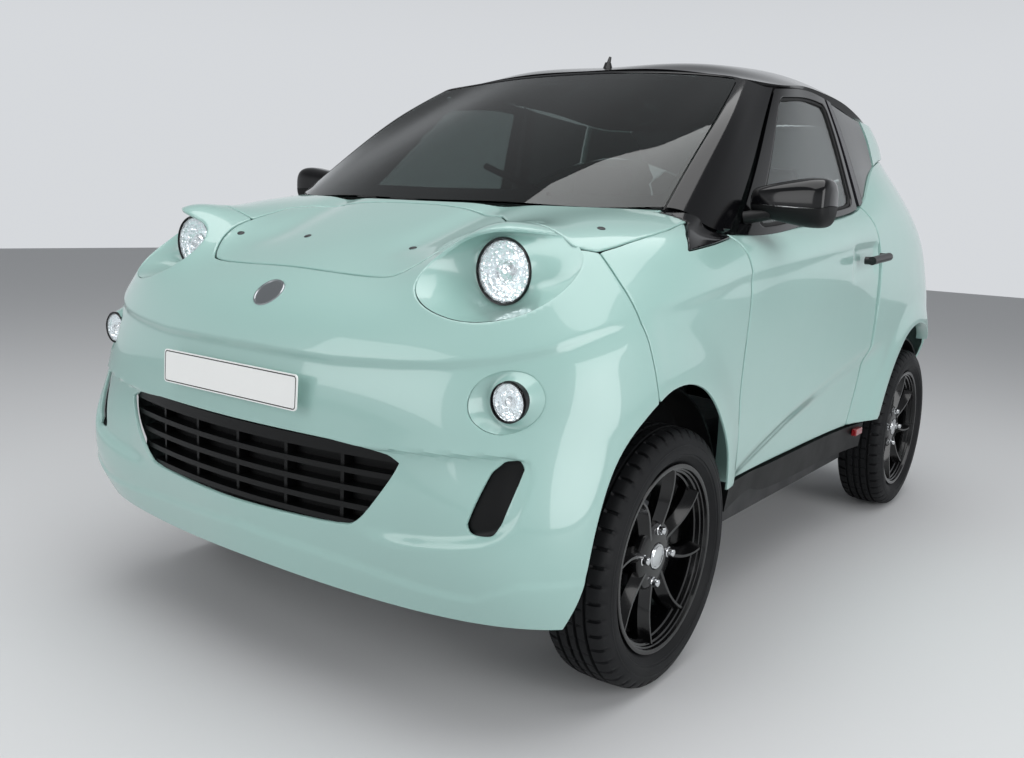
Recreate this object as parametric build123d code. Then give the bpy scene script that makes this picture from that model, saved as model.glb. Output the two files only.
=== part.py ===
from build123d import *
import os
import numpy as np

# A two-seat microcar: +X is forward, +Y the car's left, +Z up, and the origin lies on the ground
# halfway along the car. All sizes are millimetres.
FRONT_AXLE_X = 790
REAR_AXLE_X = -1030
WHEEL_Y = 640          # tyre centre plane, each side
TYRE_R = 283.5         # 155/60 R15
TYRE_W = 155
RIM_LIP_R = 206.5
BEAD_R = 190.5
SPOKES = 8
LINER_R = 377          # front arch liner, set ahead of its wheel to give room to steer
LINER_X = 845
REAR_LINER_R = 325
REAR_LINER_X = -1005
LINER_Z = 285
LINER_T = 5
KINGPIN_LOW = (790, 615, 180)
KINGPIN_TOP = (790, 505, 700)
SKIN = 26              # bumper, fender, hood and cowl thickness
WALL = 52              # door and quarter panel thickness, outer skin to inner trim
ROOF_T = 24
FRAME_T = 30           # pillars and door frames
GLASS_T = 5
SHUT = 7               # gap round what opens
JOIN = 3               # gap between fixed panels
SILL_Z = 378           # lower edge of the painted side
LAMP = (1111, 475, 885)
LAMP_R = 62
FOG = (1250, 604, 671)
FOG_R = 35
HOOD_HALF = 342
HOOD_FRONT_X = 1203
HOOD_REAR_X = 852
COWL_FRONT_X = 1040
HATCH_HALF = 480

SIDES = {"left": 1, "right": -1}

# The body below the glass is one smooth surface through sections that stand around the car, from
# the nose to the tail. Each row is a section; its columns are levels up the panel (x, y, z).
#   hem, lip, face, brow, crease, shoulder, deck, rim
BODY = [
    # nose centre
    ((1335, 0, 262), (1368, 0, 400), (1378, 0, 530), (1376, 0, 650), (1340, 0, 757),
     (1235, 0, 850), (1045, 0, 935), (830, 0, 1012)),
    # beside the nose
    ((1300, 330, 250), (1340, 336, 395), (1354, 335, 530), (1350, 330, 650), (1312, 322, 760),
     (1208, 311, 858), (1025, 303, 942), (800, 300, 1013)),
    # headlamp pod
    ((1236, 636, 258), (1274, 655, 368), (1272, 640, 515), (1257, 613, 650), (1222, 590, 760),
     (1132, 527, 893), (975, 516, 970), (715, 520, 1014)),
    # front corner
    ((1122, 716, 250), (1140, 735, 366), (1136, 730, 505), (1130, 724, 630), (1104, 708, 760),
     (1004, 657, 882), (893, 648, 958), (640, 607, 1012)),
    # front wheel
    ((800, 716, 240), (800, 731, 380), (800, 742, 510), (798, 750, 640), (792, 748, 760),
     (785, 742, 870), (735, 700, 950), (600, 640, 985)),
    # door, front edge
    ((490, 693, 290), (494, 706, 395), (502, 717, 500), (512, 724, 610), (524, 735, 725),
     (535, 742, 840), (534, 722, 925), (520, 668, 968)),
    # door, middle
    ((0, 680, 290), (0, 696, 400), (0, 706, 510), (0, 718, 620), (2, 730, 735), (8, 739, 850),
     (22, 728, 945), (50, 678, 996)),
    # door, rear edge
    ((-450, 690, 290), (-450, 706, 410), (-450, 720, 530), (-450, 730, 650), (-450, 732, 770),
     (-449, 726, 890), (-443, 706, 990), (-430, 658, 1052)),
    # rear wheel
    ((-1020, 735, 290), (-1020, 740, 430), (-1020, 740, 570), (-1018, 735, 710), (-1008, 722, 850),
     (-985, 696, 980), (-905, 640, 1105), (-790, 580, 1195)),
    # rear corner
    ((-1270, 630, 300), (-1290, 645, 430), (-1300, 648, 560), (-1300, 642, 690), (-1290, 622, 820),
     (-1265, 590, 950), (-1205, 540, 1090), (-1120, 490, 1225)),
    # beside the tail
    ((-1338, 330, 300), (-1356, 334, 420), (-1368, 336, 540), (-1371, 335, 660), (-1367, 332, 780),
     (-1345, 325, 905), (-1300, 310, 1030), (-1240, 290, 1160)),
    # tail centre
    ((-1345, 0, 300), (-1366, 0, 420), (-1377, 0, 540), (-1379, 0, 660), (-1375, 0, 780),
     (-1355, 0, 900), (-1320, 0, 1015), (-1270, 0, 1130)),
]

# The glasshouse is a second surface on the same sections, from the rim up to the roof's edge.
#   rim, lower, upper, edge
CABIN = [
    ((830, 0, 1012), (590, 0, 1155), (340, 0, 1292), (110, 0, 1404)),
    ((800, 300, 1013), (568, 292, 1155), (325, 280, 1288), (110, 268, 1396)),
    ((715, 520, 1014), (515, 500, 1148), (308, 476, 1274), (128, 447, 1376)),
    ((640, 607, 1012), (474, 584, 1142), (306, 556, 1262), (138, 512, 1360)),
    ((600, 640, 985), (425, 612, 1124), (264, 578, 1248), (98, 538, 1350)),
    ((520, 668, 968), (350, 632, 1110), (206, 594, 1240), (62, 553, 1350)),
    ((50, 678, 996), (-10, 640, 1130), (-72, 598, 1262), (-140, 553, 1372)),
    ((-430, 658, 1052), (-405, 624, 1160), (-375, 588, 1270), (-345, 550, 1368)),
    ((-790, 580, 1195), (-780, 568, 1240), (-768, 552, 1290), (-750, 530, 1340)),
    ((-1120, 490, 1225), (-1100, 485, 1265), (-1075, 472, 1308), (-1040, 455, 1350)),
    ((-1240, 290, 1160), (-1215, 285, 1235), (-1185, 276, 1310), (-1140, 262, 1378)),
    ((-1270, 0, 1130), (-1240, 0, 1215), (-1205, 0, 1300), (-1160, 0, 1388)),
]
WRAP = 5               # sections repeated past the centre line, mirrored


def ring(table):
    """The table's sections with mirrored ones added past both ends of the centre line."""
    rows = [np.array(row, float) for row in table]
    other_side = np.array([1, -1, 1])
    before = [rows[i] * other_side for i in range(WRAP, 0, -1)]
    after = [rows[-1 - i] * other_side for i in range(1, WRAP + 1)]
    return np.array(before + rows + after)


def spacing(points):
    """Spline knots for a list of points, or rows of points, by their mean distance apart."""
    steps = np.linalg.norm(np.diff(points, axis=0), axis=-1)
    steps = steps.reshape(len(steps), -1).mean(axis=1)
    return np.concatenate([[0], np.cumsum(steps)])


def cubic(points, knots, places):
    """Natural cubic spline through the points, read at places counted in points."""
    last = len(points) - 1
    gaps = np.diff(knots)
    shape = (-1,) + (1,) * (points.ndim - 1)
    slopes = np.diff(points, axis=0) / gaps.reshape(shape)
    system = np.eye(last + 1)
    load = np.zeros(points.shape)
    for i in range(1, last):
        system[i, i - 1:i + 2] = (gaps[i - 1], 2 * (gaps[i - 1] + gaps[i]), gaps[i])
        load[i] = 6 * (slopes[i] - slopes[i - 1])
    bend = np.linalg.solve(system, load.reshape(last + 1, -1)).reshape(points.shape)
    found = []
    for place in places:
        i = int(min(max(np.floor(place), 0), last - 1))
        f = place - i
        g = 1 - f
        curve = (g ** 3 - g) * bend[i] + (f ** 3 - f) * bend[i + 1]
        found.append(g * points[i] + f * points[i + 1] + curve * gaps[i] ** 2 / 6)
    return np.array(found)


BODY_RING = ring(BODY)
CABIN_RING = ring(CABIN)


def surface(sections, around, up):
    first = WRAP if len(sections) > 12 else 0
    across = cubic(sections, spacing(sections), [u + first for u in around])
    up_knots = spacing(np.swapaxes(sections, 0, 1))
    return np.array([cubic(section, up_knots, up) for section in across])


def skin_points(sections, around, up, out):
    """Points on the surface, moved out along its normal."""
    step = 0.01
    at = surface(sections, around, up)
    along = surface(sections, around + step, up) - surface(sections, around - step, up)
    rise = surface(sections, around, up + step) - surface(sections, around, up - step)
    normal = np.cross(along, rise)
    return at + out * normal / np.linalg.norm(normal, axis=2, keepdims=True)


def plate_between(outer_grid, inner_grid):
    """A closed solid between two grids of points with matching edges."""
    faces = []
    for grid in (outer_grid, inner_grid):
        points = [[tuple(point) for point in row] for row in grid]
        faces.append(Face.make_surface_from_array_of_points(points, tol=0.5, min_deg=3, max_deg=3))
    outer, inner = faces
    for edge in outer.edges():
        middle = edge.position_at(0.5)
        partner = min(inner.edges(), key=lambda e: (e.position_at(0.5) - middle).length)
        faces.append(Face.make_surface_from_curves(edge, partner))
    return Solid(Shell(faces))


def places(low, high, step=0.5):
    return np.linspace(low, high, max(round((high - low) / step), 3) + 1)


def panel(sections, around, up, out, thick):
    """A curved plate between two offsets of a body surface, over a range of sections and levels."""
    u, v = places(*around), places(*up)
    return plate_between(skin_points(sections, u, v, out), skin_points(sections, u, v, out - thick))


def wall_panel(around, up, thick):
    """A door or side wall: its inner face is the outer one moved level, in towards the cabin."""
    outer = surface(BODY_RING, places(*around), places(*up))
    spine = np.stack([np.clip(outer[..., 0], -1000, 700), 0 * outer[..., 1], outer[..., 2]], axis=2)
    inward = spine - outer
    inward = inward / np.linalg.norm(inward, axis=2, keepdims=True)
    return plate_between(outer, outer + thick * inward)


def body_panel(around, up, thick, out=0):
    return panel(BODY_RING, around, up, out, thick)


def cabin_panel(around, up, thick, out=0):
    return panel(CABIN_RING, around, up, out, thick)


def side_prism(outline, low_y, high_y):
    """A prism through the car's side; the outline is (x, z)."""
    face = Pos(0, low_y, 0) * (Plane.XZ * Polygon(*outline, align=None))
    return extrude(face, amount=high_y - low_y, dir=(0, 1, 0))


def top_prism(outline, low_z, high_z):
    """A prism down through the deck; the outline is (x, y)."""
    face = Pos(0, 0, low_z) * Polygon(*outline, align=None)
    return extrude(face, amount=high_z - low_z, dir=(0, 0, 1))


def front_prism(outline, low_x, high_x):
    """A prism through the nose; the outline is (y, z)."""
    face = Pos(low_x, 0, 0) * (Plane.YZ * Polygon(*outline, align=None))
    return extrude(face, amount=high_x - low_x, dir=(1, 0, 0))


def across(x, z, radius, low_y, high_y):
    """A cylinder along Y."""
    return Pos(x, (low_y + high_y) / 2, z) * Rot(90, 0, 0) * Cylinder(radius, high_y - low_y)


def forward(x, y, z, radius, length):
    """A cylinder along X that ends at x."""
    return Pos(x - length / 2, y, z) * Rot(0, 90, 0) * Cylinder(radius, length)


def block(low, high, round_edges=0):
    size = [h - l for l, h in zip(low, high)]
    middle = [(h + l) / 2 for l, h in zip(low, high)]
    body = Box(*size)
    if round_edges:
        body = fillet(body.edges(), round_edges)
    return Pos(*middle) * body


def rod(start, end, radius):
    """A round bar between two points."""
    start, end = Vector(*start), Vector(*end)
    plane = Plane(origin=start, z_dir=end - start)
    return plane * Pos(0, 0, (end - start).length / 2) * Cylinder(radius, (end - start).length)


def other_side(shape):
    return mirror(shape, about=Plane.XZ)


def one(shape):
    """The largest solid of a cut, without stray slivers."""
    return max(shape.solids(), key=lambda s: s.volume)


def both(shape):
    return Compound(children=[one(shape), one(other_side(one(shape)))])


def save(name, shape):
    solids = shape.solids()
    kept = solids[0] if len(solids) == 1 else Compound(children=list(solids))
    export_step(kept, f"parts/{name}.step")


os.makedirs("parts", exist_ok=True)

# ---- seams: where the panels of the nose and deck meet ----
HOOD_PLAN = [(HOOD_REAR_X, -HOOD_HALF), (1060, -HOOD_HALF), (1140, -325), (1190, -288),
             (HOOD_FRONT_X, -262), (HOOD_FRONT_X + 9, 0), (HOOD_FRONT_X, 262), (1190, 288),
             (1140, 325), (1060, HOOD_HALF), (HOOD_REAR_X, HOOD_HALF)]
DECK_LOW_Z = 800
GRILLE_OUTLINE = [(-425, 560), (-400, 500), (-335, 412), (-290, 396), (290, 396), (335, 412),
                  (400, 500), (425, 560)]
VENT_OUTLINE = [(577, 552), (622, 558), (566, 440), (540, 408), (505, 402)]
VENT_INSERT = [(575, 546), (611, 550), (560, 446), (537, 418), (516, 411)]
FASCIA_SEAM = [(1000, 1100), (1000, 930), (1004, 862), (1009, 805), (1003, 770), (995, 691), (984, 640)]
COWL_EDGE = [(COWL_FRONT_X, 585), (1000, 617), (952, 634), (904, 648), (859, 657), (807, 661), (705, 651),
             (560, 640)]
FRONT_ARCH = [(1185, 50), (1183, 255), (1173, 334), (1158, 427), (1125, 510), (1089, 572), (1037, 624),
              (965, 663), (871, 678), (770, 655), (690, 610), (620, 550), (563, 490), (530, 420),
              (515, 378), (500, 200), (500, 50)]
REAR_ARCH = [(-640, 50), (-640, 300), (-645, 400), (-670, 500), (-720, 580), (-800, 645), (-910, 672),
             (-1020, 668), (-1130, 635), (-1220, 575), (-1280, 500), (-1310, 420), (-1322, 330), (-1322, 50)]
PILLAR_FOOT = [(806, 937), (773, 963), (706, 992), (706, 1100), (541, 1100), (541, 963), (664, 950)]
DOOR_FRONT_SEAM = [(536, 1100), (534, 930), (526, 800), (508, 600), (458, SILL_Z), (450, 200)]
DOOR_REAR_SEAM = [(-440, 200), (-448, SILL_Z), (-462, 600), (-490, 880), (-470, 980), (-425, 1100)]


def grown(outline, by):
    """A closed outline round the origin side of x = 1000, each corner moved out by about the gap."""
    middle = sum(x for x, y in outline) / len(outline)
    return [(x + by * (1 if x > middle else -1), y + by * float(np.sign(y))) for x, y in outline]


def shifted(outline, by):
    return [(a + by, b) for a, b in outline]


hood_form = top_prism(HOOD_PLAN, DECK_LOW_Z, 1200)
hood_cut = top_prism(grown(HOOD_PLAN, SHUT), DECK_LOW_Z, 1200)
deck_form = top_prism(COWL_EDGE + [(x, -y) for x, y in reversed(COWL_EDGE)], 880, 1100)
cowl_inset = [(x - (JOIN if x > 1000 else 0), y - JOIN) for x, y in COWL_EDGE]
cowl_form = top_prism(cowl_inset + [(x, -y) for x, y in reversed(cowl_inset)], 880, 1100)
arch_cut = side_prism(FRONT_ARCH, 300, 900)
rear_arch_cut = side_prism(REAR_ARCH, 300, 900)

# ---- front bumper with the lamp pods, all one moulding ----
fascia = body_panel((-4.2, 4.2), (0, 6.9), SKIN)
behind_seam = side_prism(FASCIA_SEAM + [(984, 200), (300, 200), (300, 1100)], 300, 900)
fascia = fascia - behind_seam - other_side(behind_seam) - hood_cut - deck_form
fascia = one(fascia - arch_cut - other_side(arch_cut))
deep = body_panel((1.2, 3.6), (2.6, 6.6), 150, out=-1)
LAMP_BOWL = Pos(1192, 485, 874) * scale(Sphere(100), by=(1.05, 1.78, 0.98))
LAMP_BOWL_SKIN = Pos(1192, 485, 874) * scale(Sphere(100), by=(1.20, 1.93, 1.13))
FOG_BOWL = Pos(1294, 604, 671) * scale(Sphere(60), by=(1.1, 1.38, 0.97))
FOG_BOWL_SKIN = Pos(1294, 604, 671) * scale(Sphere(60), by=(1.3, 1.58, 1.17))
for bowl, skin, at, radius in (
    (LAMP_BOWL, LAMP_BOWL_SKIN, LAMP, LAMP_R + 5),
    (FOG_BOWL, FOG_BOWL_SKIN, FOG, FOG_R + 4),
):
    hole = forward(at[0] + 60, at[1], at[2], radius + 1, 300)
    lining = one((deep & skin) - bowl - hood_cut - deck_form - hole)
    for mirrored in (False, True):
        bowl_here = other_side(bowl) if mirrored else bowl
        hole_here = other_side(hole) if mirrored else hole
        lining_here = other_side(lining) if mirrored else lining
        fascia = one(fascia - bowl_here - hole_here)
        fascia = one(fascia + lining_here)
grille_hole = front_prism(GRILLE_OUTLINE, 1100, 1500)
vent_hole = front_prism(VENT_OUTLINE, 1100, 1400)
fascia = fascia - grille_hole - vent_hole - other_side(vent_hole)
save("front_bumper", one(fascia))

# ---- grille: five louvres and five ribs on a curved back rail, and the two corner vents ----
GRILLE_BOW_R = 1740
grille_core = front_prism([(y * 0.994, z if z < 480 else z - 2) for y, z in GRILLE_OUTLINE], 1100, 1500)


def bowed(front, back):
    """A plate bowed like the bumper, between two depths behind its face."""
    centre = Pos(1374 - GRILLE_BOW_R, 0, 480)
    return centre * (Cylinder(GRILLE_BOW_R - front, 300) - Cylinder(GRILLE_BOW_R - back, 300))


grille = one(bowed(44, 56) & grille_core)
LOUVRE_Z = [(398, 409), (430, 441), (464, 475), (499, 510), (534, 557)]
for low, high in LOUVRE_Z:
    grille = grille + (bowed(12, 45) & block((1000, -450, low), (1500, 450, high)) & grille_core)
for rib_y in (-280, -140, 0, 140, 280):
    grille = grille + (bowed(20, 45) & block((1000, rib_y - 4, 398), (1500, rib_y + 4, 556)))
vent = body_panel((1.4, 2.7), (1.0, 3.2), 12, out=-10) & front_prism(
    VENT_INSERT, 1100, 1400)
save("grille", one(grille))
save("bumper_vents", both(vent))

# ---- lamps ----
lamp_housing = forward(LAMP[0] - 1, LAMP[1], LAMP[2], LAMP_R + 3, 70)
lamp_housing = lamp_housing - forward(LAMP[0] + 5, LAMP[1], LAMP[2], LAMP_R, 40)
fog_housing = forward(FOG[0] - 1, FOG[1], FOG[2], FOG_R + 2, 42)
fog_housing = fog_housing - forward(FOG[0] + 5, FOG[1], FOG[2], FOG_R, 26)
save("front_lamps", Compound(children=[
    one(lamp_housing), one(other_side(lamp_housing)), one(fog_housing), one(other_side(fog_housing))]))


def lens(at, radius, bulge, depth):
    """A clear dome, its axis along the car."""
    with BuildSketch(Plane.XZ) as section:
        with BuildLine():
            ThreePointArc((0, bulge), (radius * 0.55, bulge * 0.72), (radius, 0))
            Polyline((radius, 0), (radius, -depth), (0, -depth), (0, bulge))
        make_face()
    return Pos(*at) * Rot(0, 90, 0) * revolve(section.sketch, Axis.Z)


lenses = [lens(LAMP, LAMP_R - 0.5, 9, 8), lens(FOG, FOG_R - 0.5, 5, 6)]
save("lamp_lenses", Compound(children=[
    one(piece) for part in lenses for piece in (part, other_side(part))]))

# ---- hood and the cowl round it ----
hood = one(body_panel((-2.6, 2.6), (4.2, 6.99), SKIN - 4) & hood_form)
save("hood", hood)
cowl = (body_panel((-4.4, 4.4), (5.0, 6.98), SKIN) & cowl_form) - hood_cut
save("cowl", one(cowl))

# ---- front fenders ----
fender = body_panel((2.2, 5.4), (0.6, 6.96), SKIN)
fender_outline = (shifted(FASCIA_SEAM, -JOIN) + [(1180, 640), (1180, SILL_Z)]
                  + [(x + SHUT, z) for x, z in reversed(DOOR_FRONT_SEAM[:5])])
fender = fender & side_prism(fender_outline, 300, 900)
foot_space = side_prism([(811, 934), (777, 967), (711, 996), (711, 1100), (400, 1100), (400, 960),
                         (541, 960), (664, 947)], 300, 900)
fender = one(fender - arch_cut - deck_form - foot_space)
save("fenders", both(fender))

# ---- roof: one panel through cross-sections from the windscreen header to the tail ----
#   half section: edge, crown, ridge (x, y, z)
ROOF = [
    ((130, 510, 1360), (112, 300, 1394), (108, 0, 1405)),
    ((20, 556, 1357), (20, 345, 1414), (20, 0, 1425)),
    ((-140, 556, 1374), (-140, 372, 1432), (-140, 0, 1450)),
    ((-345, 553, 1376), (-345, 388, 1443), (-345, 0, 1466)),
    ((-560, 545, 1368), (-560, 388, 1441), (-560, 0, 1470)),
    ((-755, 530, 1349), (-755, 378, 1430), (-755, 0, 1464)),
    ((-910, 500, 1346), (-925, 345, 1412), (-930, 0, 1448)),
    ((-1030, 460, 1352), (-1055, 290, 1396), (-1065, 0, 1424)),
    ((-1085, 420, 1356), (-1140, 250, 1378), (-1158, 0, 1388)),
]
ROOF_ROWS = np.array([row + tuple((x, -y, z) for x, y, z in row[1::-1]) for row in ROOF], float)
roof = panel(ROOF_ROWS, (0.02, 8), (0.03, 3.97), 0, ROOF_T)
antenna = Pos(-8, 0, 1436) * Cone(15, 9, 18) + Pos(-14, 0, 1450) * Rot(0, -22, 0) * Cone(7, 4, 26)
antenna = antenna + Pos(-8, 0, 1418) * Cylinder(7, 20)
roof = one(roof - Pos(-8, 0, 1418) * Cylinder(7.5, 60) - Pos(-8, 0, 1440) * Cylinder(16, 30))
save("roof", roof)
save("antenna", one(antenna))

# ---- windscreen frame: both pillars and the header, with the feet that stand on the fenders ----
WINDSCREEN_CUT = cabin_panel((-2.62, 2.62), (-0.3, 2.92), 90, out=30)
frame = cabin_panel((-4.96, 4.96), (0.02, 2.96), FRAME_T) - WINDSCREEN_CUT
foot = one((body_panel((2.6, 5.4), (4.6, 6.96), SKIN) & side_prism(PILLAR_FOOT, 300, 900)) - deck_form)
save("windscreen", one(cabin_panel((-2.58, 2.58), (0.03, 2.88), GLASS_T, out=-1)))
# ---- doors ----
door_outline = ([(x, z) for x, z in DOOR_FRONT_SEAM[:5]] + [(x, z) for x, z in DOOR_REAR_SEAM[1:]])
lower_door = wall_panel((4.4, 7.6), (0.5, 6.94), WALL) & side_prism(door_outline, 300, 900)
lower_door = one(lower_door)
door_frame = cabin_panel((5.05, 6.94), (0.02, 2.95), FRAME_T)
door_window = cabin_panel((5.22, 6.86), (0.16, 2.72), 90, out=30)
door_frame = one(door_frame - door_window)
door_glass = one(cabin_panel((5.24, 6.84), (0.18, 2.70), GLASS_T, out=-8))
mirror_body = Pos(405, 800, 1046) * (fillet(Box(120, 190, 118).edges(), 36))
mirror_glass_recess = Pos(342, 800, 1046) * Box(14, 160, 88)
mirror_arm = rod((430, 655, 1008), (425, 740, 1018), 22)
handle_bar = rod((-255, 764, 902), (-420, 764, 912), 12)
handle = handle_bar + rod((-265, 742, 902), (-265, 764, 902), 11) + rod(
    (-408, 742, 911), (-408, 764, 911), 11)
lower_door = lower_door - block((-440, 700, 870), (-240, 752, 940)) + (
    lower_door & block((-440, 600, 860), (-240, 731, 950)))
lower_door = one(lower_door)
door_frame = one(door_frame - lower_door)
# The roof's edge overhangs the frame, so the frame is cut back along the way it swings out.
for inwards, down in ((5, -4), (-6, -7), (-18, -7), (-30, -7)):
    door_frame = one(door_frame - Pos(0, inwards, down) * roof)
frame = frame - block((300, -800, 900), (541, 800, 979))
ROOF_SPACE = panel(ROOF_ROWS, (-0.06, 8), (-0.03, 4.03), 3, ROOF_T + 16)
frame = frame - ROOF_SPACE
frame = one(frame)
foot = one(foot - Pos(SHUT, 0, 0) * lower_door - frame)
save("windscreen_frame", Compound(children=[frame, foot, one(other_side(foot))]))
for side, sign in SIDES.items():
    turn = (lambda s: s) if sign > 0 else other_side
    save(f"{side}_door", one(turn(lower_door)))
    save(f"{side}_door_frame", one(turn(door_frame)))
    save(f"{side}_door_glass", one(turn(door_glass)))
    save(f"{side}_mirror", one(turn((mirror_body - mirror_glass_recess + mirror_arm)
                                    - door_frame - door_glass - lower_door)))
    save(f"{side}_handle", one(turn(handle - lower_door)))

# ---- quarter panels with the rear arches and the painted rear pillars ----
quarter = wall_panel((6.7, 9.55), (0.5, 6.97), WALL)
quarter_outline = [(x - SHUT, z) for x, z in DOOR_REAR_SEAM[1:]] + [
    (-430, 1300), (-1195, 1300), (-1195, SILL_Z)]
hatch_space = block((-1500, 0, 1000), (-1000, HATCH_HALF + SHUT, 1500))
quarter = one((quarter & side_prism(quarter_outline, 300, 900)) - rear_arch_cut - hatch_space)
rear_pillar = cabin_panel((8.03, 9.5), (0.001, 2.95), ROOF_T)
rear_pillar = rear_pillar & side_prism([(-700, 900), (-700, 1500), (-1195, 1500), (-1195, 900)], 200, 900)
rear_pillar = rear_pillar - hatch_space - roof
rear_pillar = one(rear_pillar - Pos(0, 0, -2) * roof - quarter)
b_post = cabin_panel((7.02, 7.14), (0.02, 2.94), FRAME_T) - Pos(0, 0, -2) * roof - quarter
b_post = one(b_post - Pos(-SHUT, 0, 0) * lower_door - Pos(0, 0, SHUT) * lower_door)
quarter_window = cabin_panel((7.17, 7.98), (0.06, 2.9), GLASS_T, out=-2) - quarter - Pos(0, 0, -2) * roof
save("rear_posts", both(b_post))
save("quarter_glass", both(quarter_window))

# ---- tail: bumper, tailgate and lamps ----
tail_low = body_panel((8.3, 13.7), (0.2, 6.9), SKIN)
below_hatch = tail_low & block((-1500, -800, 200), (-1203, 800, 697))
save("rear_bumper", one(below_hatch - rear_arch_cut - other_side(rear_arch_cut)))
hatch_panel = body_panel((8.6, 13.4), (2.4, 6.97), SKIN + 4) & block(
    (-1500, -HATCH_HALF, 705), (-1203, HATCH_HALF, 1300))
save("tailgate", one(hatch_panel))
hatch_glass = cabin_panel((8.6, 13.4), (0.03, 2.74), 8, out=-1) & block(
    (-1500, -HATCH_HALF, 1000), (-1000, HATCH_HALF, 1500))
hatch_glass = hatch_glass - ROOF_SPACE
save("tailgate_glass", one(hatch_glass))
corner = body_panel((8.3, 10.7), (2.6, 6.97), SKIN)
LAMP_LOW_Z, LAMP_TOP_Z = 800, 1060
lamp_unit = one(corner & block((-1500, HATCH_HALF + SHUT, LAMP_LOW_Z), (-1201, 800, LAMP_TOP_Z)))
low_corner = corner & block((-1500, HATCH_HALF + SHUT, 703), (-1198, 800, LAMP_LOW_Z - JOIN))
high_corner = corner & block((-1500, HATCH_HALF + SHUT, LAMP_TOP_Z + JOIN), (-1198, 800, 1300))
low_corner, high_corner = one(low_corner), one(high_corner - rear_pillar)
save("tail_lamps", both(lamp_unit))
save("quarter_panels", Compound(children=[
    one(piece) for part in (quarter, rear_pillar, low_corner, high_corner)
    for piece in (part, other_side(part))]))

# ---- wheels ----
def wheel_at(shape, x, sign):
    """Place a wheel drawn about Z, its outer face up, on its axle."""
    return Pos(x, sign * WHEEL_Y, TYRE_R) * Rot(-90 * sign, 0, 0) * shape


with BuildSketch(Plane.XZ) as tyre_section:
    with BuildLine():
        bead_half, wall_half, tread_half, flange_r = 52, TYRE_W / 2, 58, RIM_LIP_R + 2
        Polyline((flange_r, 58), (BEAD_R + 0.5, bead_half), (BEAD_R + 0.5, -bead_half), (flange_r, -58))
        low_wall = ThreePointArc((flange_r, -58), (236, -wall_half), (268, -tread_half - 8))
        low_shoulder = ThreePointArc(low_wall @ 1, (278, -tread_half + 2), (281.5, -tread_half + 14))
        tread = ThreePointArc(low_shoulder @ 1, (TYRE_R, 0), (281.5, tread_half - 14))
        high_shoulder = ThreePointArc(tread @ 1, (278, tread_half - 2), (268, tread_half + 8))
        ThreePointArc(high_shoulder @ 1, (236, wall_half), (flange_r, 58))
    make_face()
tyre = revolve(tyre_section.sketch, Axis.Z)

# The rim: a barrel with a drop centre, a dished hub and eight swept spokes.
BARREL = [(RIM_LIP_R, 65), (RIM_LIP_R, 60), (BEAD_R, 56), (BEAD_R, 30), (176, 20), (172, -10),
          (182, -30), (BEAD_R, -44), (BEAD_R, -56), (203, -62), (203, -66), (183, -66),
          (182, -48), (174, -28), (165, -10), (168, 18), (181, 34), (184, 58), (198, 65)]
with BuildSketch(Plane.XZ) as barrel_section:
    Polygon(*BARREL, align=None)
barrel = revolve(barrel_section.sketch, Axis.Z)
HUB_FACE = 40
SPOKE_ROOT_R, SPOKE_TIP_R = 52, 186
SPOKE_PHASE = 11       # degrees
hub = Pos(0, 0, HUB_FACE - 17) * Cylinder(76, 34) - Pos(0, 0, HUB_FACE - 40) * Cylinder(50, 44)
hub = hub + Pos(0, 0, HUB_FACE - 2) * Cylinder(31, 8)
with BuildSketch() as spoke_outline:
    with BuildLine():
        lead = ThreePointArc((SPOKE_ROOT_R, 17), (118, 24), (SPOKE_TIP_R, 4))
        Line(lead @ 1, (SPOKE_TIP_R - 2, -22))
        trail = ThreePointArc((SPOKE_TIP_R - 2, -22), (116, -8), (SPOKE_ROOT_R, -17))
        Line(trail @ 1, lead @ 0)
    make_face()
spoke = extrude(spoke_outline.sketch, amount=28)
spoke = Pos(0, 0, 26) * spoke
dish = Plane.XZ * Polygon((40, 42), (80, 40), (140, 46), (192, 60), (192, 90), (40, 90), align=None)
spoke = spoke - revolve(dish, Axis.Z)
star = hub
for number in range(SPOKES):
    star = star + Rot(0, 0, SPOKE_PHASE + 360 / SPOKES * number) * spoke
BOLT_CIRCLE = 115
for number in range(4):
    lug = Rot(0, 0, 90 * number + 6) * Pos(BOLT_CIRCLE / 2, 0, HUB_FACE)
    star = star - lug * Cylinder(9, 18)
rim = one(barrel + star)
tyre = one(tyre)
AXLES = {"front": FRONT_AXLE_X, "rear": REAR_AXLE_X}
for end, x in AXLES.items():
    for side, sign in SIDES.items():
        save(f"{end}_{side}_tyre", one(wheel_at(tyre, x, sign)))
        save(f"{end}_{side}_rim", one(wheel_at(rim, x, sign)))

# ---- steered knuckles: upright, brake disc and strut, which turn together ----
STRUT_FOOT, STRUT_HEAD = (790, 545, 400), (790, 514, 660)
knuckle = rod(KINGPIN_LOW, (790, 585, 330), 17) + rod((790, 585, 330), STRUT_FOOT, 16)
knuckle = knuckle + across(FRONT_AXLE_X, TYRE_R, 34, 575, 661)
knuckle = knuckle + across(FRONT_AXLE_X, TYRE_R, 112, 612, 622)
knuckle = knuckle + rod(STRUT_FOOT, STRUT_HEAD, 18) + rod((790, 521, 600), (790, 517, 634), 44)
knuckle = knuckle + rod(STRUT_HEAD, KINGPIN_TOP, 9)
knuckle = knuckle + block((690, 574, 262), (790, 592, 290)) + Pos(790, 614, 178) * Sphere(18)
for side, sign in SIDES.items():
    save(f"{side}_knuckle", one(knuckle if sign > 0 else other_side(knuckle)))

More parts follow.
